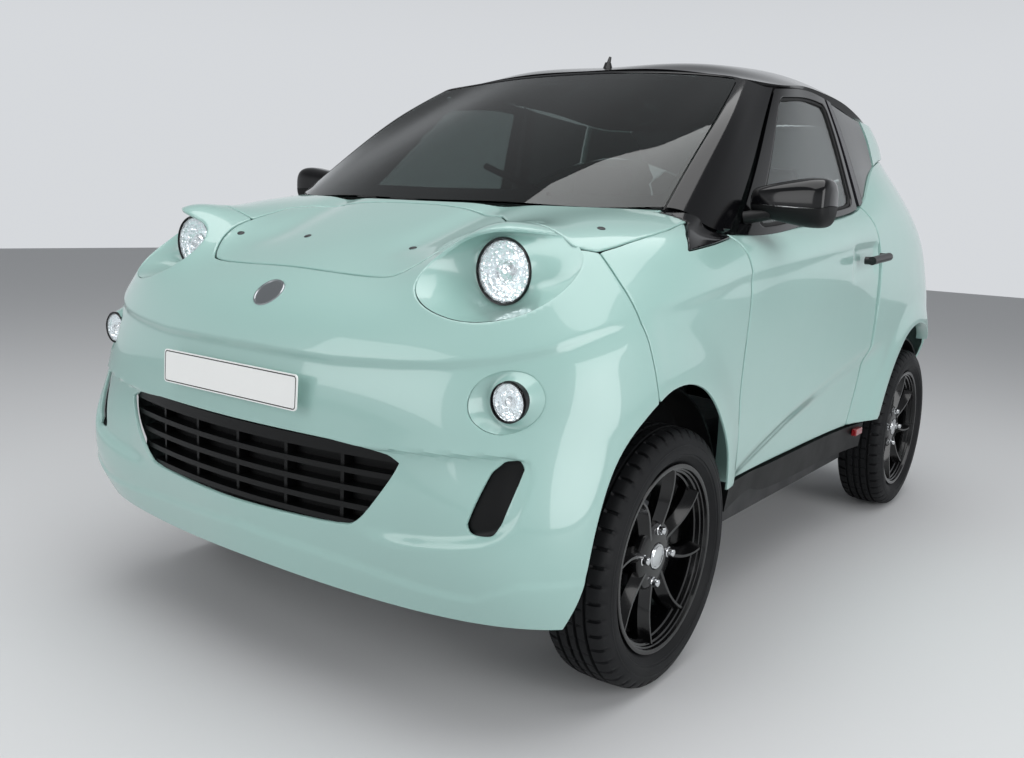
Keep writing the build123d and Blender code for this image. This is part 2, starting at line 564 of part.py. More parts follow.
# ---- chassis: floor with sills and bulkhead, front rails, rear floor with its rails ----
TOW_EYE_R = 12
PLATE_GAP = 1          # between the bolted-together chassis sections
tub = block((-640, -560, 236), (470, 560, 254)) + block((452, -560, 236), (470, 560, 716))
front_rails = block((1170, -400, 300), (1220, 400, 380))
rear_floor = block((-1290, -520, 450), (-640, 520, 468)) + block((-660, -535, 256), (-641, 535, 460))
for sign in SIDES.values():
    low_y, high_y = sorted((sign * 560, sign * 626))
    tub = tub + block((-600, low_y, 236), (430, high_y, 362))
    low_y, high_y = sorted((sign * 300, sign * 350))
    front_rails = front_rails + block((470 + PLATE_GAP, low_y, 300), (1220, high_y, 380))
    rear_floor = rear_floor + block((-1280, low_y, 400), (-655, high_y, 455))
front_rails = front_rails + block((1172, 321, 216), (1218, 329, 310))
front_rails = front_rails - across(1195, 243, TOW_EYE_R, 300, 350)
rear_floor = rear_floor + block((-1286, 321, 246), (-1240, 329, 410)) + block(
    (-1354, 321, 240), (-1270, 329, 286))
rear_floor = rear_floor - across(-1332, 263, TOW_EYE_R, 300, 350)
save("floor_pan", one(tub))
save("front_rails", one(front_rails))
save("rear_floor", one(rear_floor))

# ---- arch liners ----
def liner(x, outer_r, low_y, high_y, back_x, front_x):
    """A half ring just inside the arch, cut level above the sills."""
    ring_form = across(x, LINER_Z, outer_r, low_y, high_y) - across(
        x, LINER_Z, outer_r - LINER_T, low_y - 10, high_y + 10)
    return one(ring_form & block((back_x, low_y, 385), (front_x, high_y, 900)))


front_liner = liner(LINER_X, LINER_R, 590, 668, 300, 1085)
rear_liner = liner(REAR_LINER_X, REAR_LINER_R, 545, 684, -1308, -500) + (
    across(REAR_LINER_X, LINER_Z, REAR_LINER_R, 541, 546)
    & block((-1308, 0, 385), (-500, 900, 900)))
rear_liner = one(rear_liner)
save("wheel_liners", Compound(children=[
    front_liner, one(other_side(front_liner)), rear_liner, one(other_side(rear_liner))]))

# ---- side skirts ----
skirt = body_panel((4.5, 7.7), (0.0, 1.0), 22, out=-14) & block((-580, 500, 288), (440, 900, SILL_Z - 6))
save("side_skirts", both(skirt))

# ---- engine, suspension, axle, exhaust ----
engine = block((650, -240, 400), (1060, 240, 760), 30)
save("engine", one(engine))
arm = rod((790, 300, 215), (790, 582, 172), 15) + rod((610, 300, 215), (785, 570, 174), 12)
arm = arm + Pos(790, 300, 215) * Sphere(24)
cross_member = block((600, -320, 232), (820, 320, 262))
tower = block((740, 430, 706), (840, 560, 722)) - rod((790, 517, 640), (790, 497, 740), 15)
tower = tower + block((740, 405, 384), (840, 430, 722)) + block((740, 330, 384), (840, 430, 404))
suspension = one(cross_member + arm + other_side(arm))
save("front_suspension", Compound(children=[suspension, one(tower), one(other_side(tower))]))
beam = across(REAR_AXLE_X, TYRE_R, 30, -600, 600)
for sign in SIDES.values():
    beam = beam + rod((REAR_AXLE_X, sign * 480, TYRE_R), (-670, sign * 480, 290), 22)
    low_y, high_y = sorted((sign * 566, sign * 640))
    beam = beam + across(REAR_AXLE_X, TYRE_R, 105, low_y, high_y)
    beam = beam + rod((-1080, sign * 440, 300), (-1080, sign * 440, 440), 26)
beam = beam + block((-1090, -460, 270), (-1030, 460, 297))
beam = beam + block((-700, -520, 262), (-662, 520, 300))
save("rear_axle", one(beam))
muffler = across(-1180, 330, 62, -180, 180) + rod((-1180, 200, 300), (-1180, 170, 320), 20)
pipe = muffler
PIPE_ROUTE = [(-1170, -120, 310), (-1110, -120, 214), (860, -120, 208), (866, -120, 398)]
for start, end in zip(PIPE_ROUTE, PIPE_ROUTE[1:]):
    pipe = pipe + rod(start, end, 17) + Pos(*start) * Sphere(17)
save("exhaust", one(pipe))

# ---- cabin ----
dash = side_prism([(640, 920), (470, 924), (420, 895), (395, 812), (420, 735), (478, 720), (478, 890),
                   (640, 890)], -560, 560)
column = rod((440, 320, 785), (226, 320, 858.5), 32)
save("dashboard", one(dash + column))
COLUMN_TILT = 20       # degrees above level
steering = Pos(205, 320, 866) * Rot(0, COLUMN_TILT - 90, 0) * (
    Torus(178, 14) + Cylinder(52, 26) + Box(34, 350, 16) + Pos(-90, 0, 0) * Box(170, 34, 16))
save("steering_wheel", one(steering))
seat_base = fillet(block((-340, 70, 300), (120, 540, 440)).edges(), 38)
seat_back = Plane(origin=(-330, 305, 450), x_dir=(0, 1, 0), z_dir=(-0.28, 0, 0.96)) * Pos(
    0, 0, 300) * fillet(Box(450, 110, 600).edges(), 42)
headrest = Plane(origin=(-330, 305, 450), x_dir=(0, 1, 0), z_dir=(-0.28, 0, 0.96)) * Pos(
    0, 5, 680) * fillet(Box(250, 80, 150).edges(), 34)
save("seat_bases", both(seat_base))
save("seat_backs", both(seat_back + headrest))

# ---- plate and wiper ----
plate = Plane(origin=(1380, 0, 643), x_dir=(0, 1, 0), z_dir=(1, 0, 0.04)) * fillet(
    Box(414, 70, 3).edges().filter_by(Axis.Z), 8)
save("front_plate", one(plate))
wiper = rod((742, 322, 1000), (742, 322, 1035), 9) + rod((742, 322, 1030), (640, 60, 1100), 8)
wiper = wiper + rod((600, 250, 1135), (668, -330, 1110), 6)
save("wiper", one(wiper - cabin_panel((-2.58, 2.58), (0.0, 2.88), GLASS_T, out=-1)))
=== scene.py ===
import math
import bmesh
import bpy
import numpy as np
from mathutils import Matrix, Vector


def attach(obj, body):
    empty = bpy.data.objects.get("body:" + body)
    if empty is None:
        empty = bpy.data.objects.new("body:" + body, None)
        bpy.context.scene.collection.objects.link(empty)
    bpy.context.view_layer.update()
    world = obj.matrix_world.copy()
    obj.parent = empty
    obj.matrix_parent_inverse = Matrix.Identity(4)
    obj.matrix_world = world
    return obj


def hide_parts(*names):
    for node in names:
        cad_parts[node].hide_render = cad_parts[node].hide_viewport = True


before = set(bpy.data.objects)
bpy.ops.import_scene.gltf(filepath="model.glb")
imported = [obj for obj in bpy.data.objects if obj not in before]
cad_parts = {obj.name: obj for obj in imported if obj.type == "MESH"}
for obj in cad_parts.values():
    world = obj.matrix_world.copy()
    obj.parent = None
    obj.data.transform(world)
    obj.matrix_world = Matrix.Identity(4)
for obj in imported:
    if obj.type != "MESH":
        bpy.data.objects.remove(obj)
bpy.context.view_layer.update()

# ---- Studio ----------------------------------------------------------------------------------
# A seamless pale sheet on the floor, three broad soft lights, one overhead, one at the left and one
# in front, and a camera a metre up, off the car's left front corner.
CAMERA_AT = Vector((2.593, 1.579, 1.005))
CAMERA_YAW, CAMERA_DOWN, CAMERA_ROLL = math.radians(215.85), math.radians(10.01), math.radians(2.67)
LENS_MM = 971 / 1024 * 36

ahead = Vector((math.cos(CAMERA_YAW) * math.cos(CAMERA_DOWN),
                math.sin(CAMERA_YAW) * math.cos(CAMERA_DOWN), -math.sin(CAMERA_DOWN)))
level = ahead.cross(Vector((0, 0, 1))).normalized()
upward = level.cross(ahead)
right = math.cos(CAMERA_ROLL) * level + math.sin(CAMERA_ROLL) * upward
top = -math.sin(CAMERA_ROLL) * level + math.cos(CAMERA_ROLL) * upward
camera = bpy.data.objects.new("camera", bpy.data.cameras.new("camera"))
camera.matrix_world = Matrix((
    (right.x, top.x, -ahead.x, CAMERA_AT.x), (right.y, top.y, -ahead.y, CAMERA_AT.y),
    (right.z, top.z, -ahead.z, CAMERA_AT.z), (0, 0, 0, 1)))
camera.data.lens = LENS_MM
bpy.context.scene.collection.objects.link(camera)
bpy.context.scene.camera = camera
bpy.context.scene.view_settings.view_transform = "Standard"


def linear(hex_colour):
    """An sRGB hex colour as the linear RGBA that shaders use."""
    parts = [int(hex_colour[i:i + 2], 16) / 255 for i in (1, 3, 5)]
    return [c / 12.92 if c <= 0.04045 else ((c + 0.055) / 1.055) ** 2.4 for c in parts] + [1]


def add_node(tree, kind, settings=None, **links):
    """A shader or geometry node with its settings, its inputs set or linked by name."""
    node = tree.nodes.new(kind)
    for key, value in (settings or {}).items():
        setattr(node, key, value)
    for key, value in links.items():
        socket = node.inputs[int(key[1:])] if key[0] == "_" else node.inputs[key.replace("_", " ")]
        if isinstance(value, bpy.types.NodeSocket):
            tree.links.new(value, socket)
        else:
            socket.default_value = value
    return node


def finish_of(name, colour, roughness, metallic=0.0, **more):
    """A Principled material with constant values on the shader's own sockets."""
    material = bpy.data.materials.new(name)
    material.use_nodes = True
    shader = material.node_tree.nodes["Principled BSDF"]
    shader.inputs["Base Color"].default_value = linear(colour)
    shader.inputs["Roughness"].default_value = roughness
    shader.inputs["Metallic"].default_value = metallic
    for key, value in more.items():
        shader.inputs[key.replace("_", " ")].default_value = value
    return material


def roughen(material, grain_mm, height_mm, mottle=0.0):
    """Surface grain of a real size: bump, and with mottle a little change of roughness."""
    tree = material.node_tree
    shader = tree.nodes["Principled BSDF"]
    place = add_node(tree, "ShaderNodeTexCoord")
    grain = add_node(tree, "ShaderNodeTexNoise", Vector=place.outputs["Object"], Scale=1000 / grain_mm)
    bump = add_node(tree, "ShaderNodeBump", Height=grain.outputs["Fac"], Distance=height_mm / 1000,
                    Strength=1.0)
    tree.links.new(bump.outputs["Normal"], shader.inputs["Normal"])
    if mottle:
        base = shader.inputs["Roughness"].default_value
        patch = add_node(tree, "ShaderNodeTexNoise", Vector=place.outputs["Object"], Scale=9.0,
                         Detail=4.0)
        spread = add_node(tree, "ShaderNodeMapRange", _0=patch.outputs["Fac"], _1=0.3, _2=0.7,
                          _3=base - mottle, _4=base + mottle)
        tree.links.new(spread.outputs[0], shader.inputs["Roughness"])
    return material


floor_mesh = bpy.data.meshes.new("floor")
floor_mesh.from_pydata([(-14, -14, 0), (14, -14, 0), (14, 14, 0), (-14, 14, 0)], [], [(0, 1, 2, 3)])
floor = bpy.data.objects.new("floor", floor_mesh)
bpy.context.scene.collection.objects.link(floor)
# Matt vinyl takes a soft shadow and mirrors nothing. Its grain is drawn coarse, so that it shows.
pale_sheet = finish_of("matt_vinyl_sheet", "#D9DADB", 0.85)
floor_mesh.materials.append(roughen(pale_sheet, 3.0, 0.1))

# The room is bright low down and dimmer overhead, so upright panels shine and the deck stays deep.
HORIZON, ZENITH = 0.8, 0.3
FADE_FROM, FADE_TO = 0.12, 0.6
world = bpy.data.worlds.new("studio")
bpy.context.scene.world = world
world.use_nodes = True
around = add_node(world.node_tree, "ShaderNodeTexCoord")
height = add_node(world.node_tree, "ShaderNodeSeparateXYZ", Vector=around.outputs["Generated"])
fall = add_node(world.node_tree, "ShaderNodeMapRange", {"interpolation_type": "SMOOTHSTEP"},
                _0=height.outputs["Z"], _1=FADE_FROM, _2=FADE_TO, _3=HORIZON, _4=ZENITH)
sky = world.node_tree.nodes["Background"]
sky.inputs["Color"].default_value = linear("#ECEFF3")
world.node_tree.links.new(fall.outputs[0], sky.inputs["Strength"])
for name, at, aim, size, power in (
        ("overhead_box", (0.6, 0.4, 4.2), (0.2, 0, 0.6), 4.5, 130),
        ("left_box", (1.2, 5.4, 1.9), (-0.1, 0.4, 0.6), 3.4, 110),
        ("front_box", (5.2, -1.2, 2.4), (0.8, 0, 0.6), 3.0, 55)):
    lamp = bpy.data.lights.new(name, "AREA")
    lamp.size, lamp.energy = size, power
    light = bpy.data.objects.new(name, lamp)
    light.location = at
    light.rotation_mode = "QUATERNION"
    light.rotation_quaternion = (Vector(aim) - Vector(at)).to_track_quat("-Z", "Y")
    bpy.context.scene.collection.objects.link(light)

# ---- Painted body shell ----------------------------------------------------------------------
# Thermoformed ABS panels in a pale mint two-coat lacquer, screwed to a hidden frame. One smooth
# surface runs round the whole car through these sections, and each panel is cut out of it.
#   hem, lip, face, brow, crease, shoulder, deck, rim (x, y, z in millimetres)
BODY = [
    ((1335, 0, 262), (1368, 0, 400), (1378, 0, 530), (1376, 0, 650), (1340, 0, 757),
     (1235, 0, 850), (1045, 0, 935), (830, 0, 1012)),
    ((1300, 330, 250), (1340, 336, 395), (1354, 335, 530), (1350, 330, 650), (1312, 322, 760),
     (1208, 311, 858), (1025, 303, 942), (800, 300, 1013)),
    ((1236, 636, 258), (1274, 655, 368), (1272, 640, 515), (1257, 613, 650), (1222, 590, 760),
     (1132, 527, 893), (975, 516, 970), (715, 520, 1014)),
    ((1122, 716, 250), (1140, 735, 366), (1136, 730, 505), (1130, 724, 630), (1104, 708, 760),
     (1004, 657, 882), (893, 648, 958), (640, 607, 1012)),
    ((800, 716, 240), (800, 731, 380), (800, 742, 510), (798, 750, 640), (792, 748, 760),
     (785, 742, 870), (735, 700, 950), (600, 640, 985)),
    ((490, 693, 290), (494, 706, 395), (502, 717, 500), (512, 724, 610), (524, 735, 725),
     (535, 742, 840), (534, 722, 925), (520, 668, 968)),
    ((0, 680, 290), (0, 696, 400), (0, 706, 510), (0, 718, 620), (2, 730, 735), (8, 739, 850),
     (22, 728, 945), (50, 678, 996)),
    ((-450, 690, 290), (-450, 706, 410), (-450, 720, 530), (-450, 730, 650), (-450, 732, 770),
     (-449, 726, 890), (-443, 706, 990), (-430, 658, 1052)),
    ((-1020, 735, 290), (-1020, 740, 430), (-1020, 740, 570), (-1018, 735, 710), (-1008, 722, 850),
     (-985, 696, 980), (-905, 640, 1105), (-790, 580, 1195)),
    ((-1270, 630, 300), (-1290, 645, 430), (-1300, 648, 560), (-1300, 642, 690), (-1290, 622, 820),
     (-1265, 590, 950), (-1205, 540, 1090), (-1120, 490, 1225)),
    ((-1338, 330, 300), (-1356, 334, 420), (-1368, 336, 540), (-1371, 335, 660), (-1367, 332, 780),
     (-1345, 325, 905), (-1300, 310, 1030), (-1240, 290, 1160)),
    ((-1345, 0, 300), (-1366, 0, 420), (-1377, 0, 540), (-1379, 0, 660), (-1375, 0, 780),
     (-1355, 0, 900), (-1320, 0, 1015), (-1270, 0, 1130)),
]
WRAP = 5               # sections repeated past the centre line, mirrored


def wrapped(table):
    """The table's sections in metres, with mirrored ones added past both ends."""
    rows = [np.array(row, float) / 1000 for row in table]
    flip = np.array([1, -1, 1])
    before = [rows[i] * flip for i in range(WRAP, 0, -1)]
    after = [rows[-1 - i] * flip for i in range(1, WRAP + 1)]
    return np.array(before + rows + after)


BODY_ROWS = wrapped(BODY)


def knots_of(points):
    """Mean distances along rows of points, which space the spline's knots."""
    steps = np.linalg.norm(np.diff(points, axis=0), axis=-1)
    return np.concatenate([[0], np.cumsum(steps.reshape(len(steps), -1).mean(axis=1))])


def through(points, knots, places):
    """Natural cubic spline through rows of points, read at places counted in rows."""
    last = len(points) - 1
    gaps = np.diff(knots)
    slopes = np.diff(points, axis=0) / gaps.reshape((-1,) + (1,) * (points.ndim - 1))
    system, load = np.eye(last + 1), np.zeros(points.shape)
    for i in range(1, last):
        system[i, i - 1:i + 2] = (gaps[i - 1], 2 * (gaps[i - 1] + gaps[i]), gaps[i])
        load[i] = 6 * (slopes[i] - slopes[i - 1])
    bend = np.linalg.solve(system, load.reshape(last + 1, -1)).reshape(points.shape)
    cell = np.clip(np.floor(places).astype(int), 0, last - 1)
    f = (places - cell).reshape((-1,) + (1,) * (points.ndim - 1))
    g = 1 - f
    span = (gaps[cell] ** 2).reshape(f.shape) / 6
    return (g * points[cell] + f * points[cell + 1]
            + ((g ** 3 - g) * bend[cell] + (f ** 3 - f) * bend[cell + 1]) * span)


def surface_at(rows, around, up):
    """Points of a surface at sections and levels, counted in its table's rows and columns."""
    first = WRAP if len(rows) > len(BODY) else 0
    lengthways = through(rows, knots_of(rows), around + first)
    up_knots = knots_of(np.swapaxes(rows, 0, 1))
    return np.stack([through(section, up_knots, up) for section in lengthways])


def facing(grid):
    """Unit normals of a grid of points, and its spacing along both directions."""
    along, rise = np.gradient(grid, axis=0), np.gradient(grid, axis=1)
    normal = np.cross(along, rise)
    normal /= np.maximum(np.linalg.norm(normal, axis=2, keepdims=True), 1e-12)
    return normal, np.linalg.norm(along, axis=2), np.linalg.norm(rise, axis=2)


def inside(points, outline):
    """Signed distance from 2-D points to a closed outline, negative inside it."""
    points = np.asarray(points)
    a = np.array(outline, float)
    b = np.roll(a, -1, axis=0)
    best = np.full(points.shape[:-1], 1e9)
    odd = np.zeros(points.shape[:-1], bool)
    for (ax, ay), (bx, by) in zip(a, b):
        ex, ey = bx - ax, by - ay
        px, py = points[..., 0] - ax, points[..., 1] - ay
        t = np.clip((px * ex + py * ey) / max(ex * ex + ey * ey, 1e-12), 0, 1)
        best = np.minimum(best, (px - t * ex) ** 2 + (py - t * ey) ** 2)
        crosses = (ay > points[..., 1]) != (by > points[..., 1])
        with np.errstate(divide="ignore", invalid="ignore"):
            odd ^= crosses & (points[..., 0] < ex * (points[..., 1] - ay) / (by - ay) + ax)
    return np.sqrt(best) * np.where(odd, -1, 1)


def eased(outline, rounds=2):
    """An outline with its corners cut back to curves."""
    points = np.array(outline, float)
    for _ in range(rounds):
        following = np.roll(points, -1, axis=0)
        points = np.stack([0.75 * points + 0.25 * following, 0.25 * points + 0.75 * following],
                          axis=1).reshape(-1, 2)
    return points


def blend(low, high, value):
    """0 below low, 1 above high, and a smooth step between."""
    t = np.clip((value - low) / (high - low), 0, 1)
    return t * t * (3 - 2 * t)


def cut_panel(grid, field, wall, edge=0.002, inner=None):
    """Vertices and faces of a panel: the part of the grid where field is negative, with a rolled
    edge, thickened inwards by wall along its normals (or to an inner grid)."""
    normal, _, _ = facing(grid)
    back = grid - wall * normal if inner is None else inner
    shape = field.shape
    number = np.arange(field.size).reshape(shape)
    front = [tuple(p) for p in grid.reshape(-1, 3)]
    behind = [tuple(p) for p in back.reshape(-1, 3)]
    level_of = list(field.reshape(-1))
    corners = np.stack([number[:-1, :-1], number[1:, :-1], number[1:, 1:], number[:-1, 1:]], axis=-1)
    highest = np.max(field.reshape(-1)[corners], axis=-1)
    lowest = np.min(field.reshape(-1)[corners], axis=-1)
    faces = [tuple(c) for c in corners[highest <= -edge].tolist()]
    made = {}

    def point_between(a, b, cut):
        """The number of the point where an edge crosses a level, made once."""
        key = (min(a, b), max(a, b), cut)
        if key not in made:
            t = (cut - level_of[a]) / (level_of[b] - level_of[a])
            front.append(tuple((1 - t) * p + t * q for p, q in zip(front[a], front[b])))
            behind.append(tuple((1 - t) * p + t * q for p, q in zip(behind[a], behind[b])))
            level_of.append(cut)
            made[key] = len(front) - 1
        return made[key]

    def split(polygon, cut):
        """A polygon's part below a level, and the rest."""
        kept, rest = [], []
        for a, b in zip(polygon, polygon[1:] + polygon[:1]):
            low_a, low_b = level_of[a] <= cut, level_of[b] <= cut
            (kept if low_a else rest).append(a)
            if low_a != low_b and abs(level_of[a] - cut) > 1e-9 and abs(level_of[b] - cut) > 1e-9:
                middle = point_between(a, b, cut)
                kept.append(middle)
                rest.append(middle)
            elif low_a != low_b:
                shared = a if abs(level_of[a] - cut) <= 1e-9 else b
                (rest if low_a == (shared == a) else kept).append(shared)
        return kept, rest

    for quad in corners[(highest > -edge) & (lowest < 0)].tolist():
        rest = quad
        for cut in (-edge, -0.35 * edge, 0.0):
            kept, rest = split(rest, cut)
            if len(kept) > 2:
                faces.append(tuple(kept))
            if len(rest) < 3:
                break
    used = sorted({v for face in faces for v in face})
    renumber = {v: i for i, v in enumerate(used)}
    depth = np.array([min(max(level_of[v] + edge, 0), edge) for v in used])
    roll = edge - np.sqrt(np.maximum(edge ** 2 - depth ** 2, 0))
    outer = np.array([front[v] for v in used])
    inward = np.array([behind[v] for v in used]) - outer
    unit = inward / np.maximum(np.linalg.norm(inward, axis=1, keepdims=True), 1e-9)
    points = np.concatenate([outer + roll[:, None] * unit, outer + inward])
    faces = [tuple(renumber[v] for v in face) for face in faces]
    count = len(used)
    seen = {}
    for face in faces:
        for a, b in zip(face, face[1:] + face[:1]):
            seen[(a, b)] = seen.get((a, b), 0) + 1
    rims = [(b, a, a + count, b + count) for a, b in seen if (b, a) not in seen]
    faces += [tuple(v + count for v in reversed(face)) for face in faces] + rims
    return points, faces


def piece(name, points, faces, material, sharp=40):
    """A mesh object, its place in its mesh, smooth but for edges sharper than an angle."""
    mesh = bpy.data.meshes.new(name)
    mesh.from_pydata([tuple(p) for p in points], [], faces)
    mesh.materials.append(material)
    mesh.validate()
    mesh.shade_smooth()
    mesh.set_sharp_from_angle(angle=math.radians(sharp))
    made = bpy.data.objects.new(name, mesh)
    bpy.context.scene.collection.objects.link(made)
    return made


def mounted(name, form, material, body, node=None, sharp=40):
    """A piece fixed to a body with its material, in place of a CAD node where one is named."""
    part = piece(name, *form, material, sharp)
    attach(part, body)
    if node:
        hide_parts(node)
    return part


def turned_over(faces):
    """Faces with their fronts on the other side."""
    return [tuple(reversed(face)) for face in faces]


def mirrored(points, faces):
    """A form on the car's other side."""
    return points * np.array([1, -1, 1]), turned_over(faces)


def for_hand(hand, form):
    """A left-hand form, mirrored for the right."""
    return form if hand == "left" else mirrored(*form)


def joined(parts):
    """Several (points, faces) as one."""
    points, faces, count = [], [], 0
    for some, these in parts:
        points.append(some)
        faces += [tuple(v + count for v in face) for face in these]
        count += len(some)
    return np.concatenate(points), faces


def grid_of(rows, around, up, pitch):
    """A dense grid of the surface over a range of sections and levels, with its u and v."""
    coarse = surface_at(rows, np.linspace(*around, 12), np.linspace(*up, 9))
    _, along, rise = facing(coarse)
    columns = int(along.mean() * 11 / pitch) + 2
    lines = int(rise.mean() * 8 / pitch) + 2
    u, v = np.linspace(*around, columns), np.linspace(*up, lines)
    return surface_at(rows, u, v), *np.meshgrid(u, v, indexing="ij")


FINE = 0.008
# A coloured coat with fine orange peel under a clear one: soft highlights with a crisp edge.
lacquer = roughen(finish_of("mint_two_coat_lacquer_on_abs", "#9CC0B9", 0.34, Coat_Weight=0.9,
                            Coat_Roughness=0.045, Coat_IOR=1.5), 3.5, 0.0025, mottle=0.03)

# The front bumper: one moulding with a hooded bowl round each headlamp and fog lamp, a sunk band
# for the vents, and a rolled brow above the plate. Screwed to the front cross member.
LAMP, LAMP_R = (1.111, 0.475, 0.885), 0.062
FOG, FOG_R = (1.250, 0.601, 0.669), 0.035
DECK_LOW, HOOD_LOW = 0.88, 0.8      # nothing below these belongs to the deck or the lid
LID_GAP = 0.0035
FAR = 9                # past any distance on the car: it takes a cut out where it doesn't belong
HOOD_PLAN = eased([(0.852, -0.342), (1.06, -0.342), (1.14, -0.325), (1.19, -0.288), (1.203, -0.262),
                   (1.212, 0), (1.203, 0.262), (1.19, 0.288), (1.14, 0.325), (1.06, 0.342),
                   (0.852, 0.342)], 2)
FASCIA_SEAM = [(1.0, 1.1), (1.0, 0.93), (1.004, 0.862), (1.009, 0.805), (1.003, 0.77), (0.995, 0.691),
               (0.984, 0.64)]
AHEAD_OF_SEAM = [(0.984, 0.2), (1.9, 0.2), (1.9, 1.1)]
COWL_EDGE = [(1.04, 0.585), (1.0, 0.617), (0.952, 0.634), (0.904, 0.648), (0.859, 0.657),
             (0.807, 0.661), (0.705, 0.651), (0.56, 0.64)]
COWL_PLAN = COWL_EDGE + [(x, -y) for x, y in reversed(COWL_EDGE)]
GRILLE_OUTLINE = eased([(-0.425, 0.56), (-0.4, 0.5), (-0.335, 0.412), (-0.29, 0.394), (0, 0.388),
                        (0.29, 0.394), (0.335, 0.412), (0.4, 0.5), (0.425, 0.56), (0, 0.562)], 2)
VENT_OUTLINE = eased([(0.596, 0.564), (0.643, 0.57), (0.636, 0.52), (0.618, 0.44), (0.588, 0.433),
                      (0.558, 0.436), (0.573, 0.49)], 1)
LAMP_LIP = eased([(0.348, 0.862), (0.35, 0.9), (0.385, 0.937), (0.44, 0.957), (0.5, 0.969),
                  (0.548, 0.962), (0.59, 0.94), (0.615, 0.907), (0.622, 0.866), (0.602, 0.83),
                  (0.559, 0.807), (0.497, 0.798), (0.43, 0.81), (0.378, 0.832)])
FOG_LIP = eased([(0.534, 0.668), (0.548, 0.63), (0.597, 0.608), (0.642, 0.63), (0.656, 0.674),
                 (0.632, 0.716), (0.59, 0.726), (0.548, 0.706)])
SUNK_BAND = eased([(0.28, 0.558), (0.431, 0.565), (0.547, 0.574), (0.645, 0.58), (0.662, 0.549),
                   (0.661, 0.5), (0.644, 0.438), (0.58, 0.408), (0.479, 0.385), (0.4, 0.375),
                   (0.337, 0.375), (0.28, 0.385)], 1)
BROW_Y = (0, 0.256, 0.403, 0.496, 0.573, 0.647, 0.702, 0.76)
BROW_Z = (0.713, 0.711, 0.719, 0.727, 0.74, 0.763, 0.801, 0.86)
BROW_STEP, BAND_DEPTH, CHIN_LIP = 0.012, 0.016, 0.006
CHIN_Y, CHIN_Z = (0, 0.172, 0.398, 0.488, 0.575, 0.66), (0.335, 0.324, 0.309, 0.305, 0.308, 0.35)
FRONT_ARCH = eased([(1.185, 0.05), (1.183, 0.255), (1.173, 0.334), (1.158, 0.427), (1.125, 0.51),
                    (1.089, 0.574), (1.037, 0.629), (0.965, 0.669), (0.871, 0.682), (0.77, 0.66),
                    (0.69, 0.614), (0.62, 0.552), (0.563, 0.49), (0.53, 0.42), (0.515, 0.378),
                    (0.5, 0.2), (0.5, 0.05)])


def side_view(p):
    """Points seen from the side: x and z."""
    return np.stack([p[..., 0], p[..., 2]], axis=-1)


def end_view(p):
    """Points seen from an end: distance from the middle plane, and z."""
    return np.stack([np.abs(p[..., 1]), p[..., 2]], axis=-1)


def outwards(p, by):
    """Points moved away from the middle plane."""
    return p + by[..., None] * np.stack([0 * by, np.sign(p[..., 1]), 0 * by], axis=-1)


POD_AT, POD_LIFT = (1.12, 0.487, 0.915), 0.052
POD_HALF_WIDE, POD_HALF_LONG = 0.125, 0.11


def pods(p):
    """Lifts the lamp pods out of the nose."""
    across = (np.abs(p[..., 1]) - POD_AT[1]) / POD_HALF_WIDE
    along = ((p[..., 0] - POD_AT[0]) * 0.89 - (p[..., 2] - POD_AT[2]) * 0.45) / POD_HALF_LONG
    swell = np.exp(-across ** 2 - along ** 2) * POD_LIFT
    return p + swell[..., None] * np.array([0.42, 0, 0.9])


def flared(p, arch, reach=0.11, by=0.007):
    """Rolls the panel outwards towards a wheel arch."""
    lift = by * (1 - blend(0.01, reach, inside(side_view(p), arch)))
    return outwards(p, lift * blend(0.62, 0.73, np.abs(p[..., 1])))


def nose_shape(p):
    """The bumper's relief: pods, brow, sunk band, chin and the arch's flare."""
    p = pods(p)
    y, z = np.abs(p[..., 1]), p[..., 2]
    brow = np.interp(y, BROW_Y, BROW_Z)
    dent = BROW_STEP * blend(brow + 0.009, brow - 0.013, z) * blend(0.45, 0.6, z)
    band = -inside(end_view(p), SUNK_BAND)
    soft = 0.009 + 0.03 * blend(0.48, 0.38, z)
    dent = dent + BAND_DEPTH * blend(0, 1, band / soft) * blend(0.3, 0.44, y) * blend(0.675, 0.6, y)
    chin = np.interp(y, CHIN_Y, CHIN_Z)
    dent = dent - CHIN_LIP * blend(chin + 0.012, chin - 0.006, z)
    dent = dent * blend(1.005, 1.09, p[..., 0])
    p = p - dent[..., None] * np.array([1, 0, 0])
    return flared(p, FRONT_ARCH)


def fascia_field(p):
    """Negative on the bumper moulding, above zero past its seams and in its openings."""
    y, z = np.abs(p[..., 1]), p[..., 2]
    side = inside(side_view(p), FASCIA_SEAM + AHEAD_OF_SEAM)
    behind = FAR * (p[..., 0] < 1.05)
    lamp = -inside(end_view(p), LAMP_LIP) - FAR * (p[..., 0] < 0.98)
    openings = [-inside(end_view(p), outline) - behind for outline in (FOG_LIP, GRILLE_OUTLINE, VENT_OUTLINE)]
    hood = LID_GAP - inside(p[..., :2], HOOD_PLAN) - FAR * (z < HOOD_LOW)
    arch = -inside(side_view(p), FRONT_ARCH) - FAR * (y < 0.3)
    deck = np.minimum(-inside(p[..., :2], COWL_PLAN), z - DECK_LOW)
    return np.max([side, lamp, *openings, hood, arch, deck], axis=0)


def both_sides(points, faces):
    """A form with its mirror image."""
    return joined([(points, faces), mirrored(points, faces)])


def lattice(rings, around, closed=True, looped=False):
    """Faces between rings of points: each ring closed or open, the row of rings looped or not."""
    return [(i * around + j, i * around + (j + 1) % around,
             (i + 1) % rings * around + (j + 1) % around, (i + 1) % rings * around + j)
            for i in range(rings if looped else rings - 1) for j in range(around if closed else around - 1)]


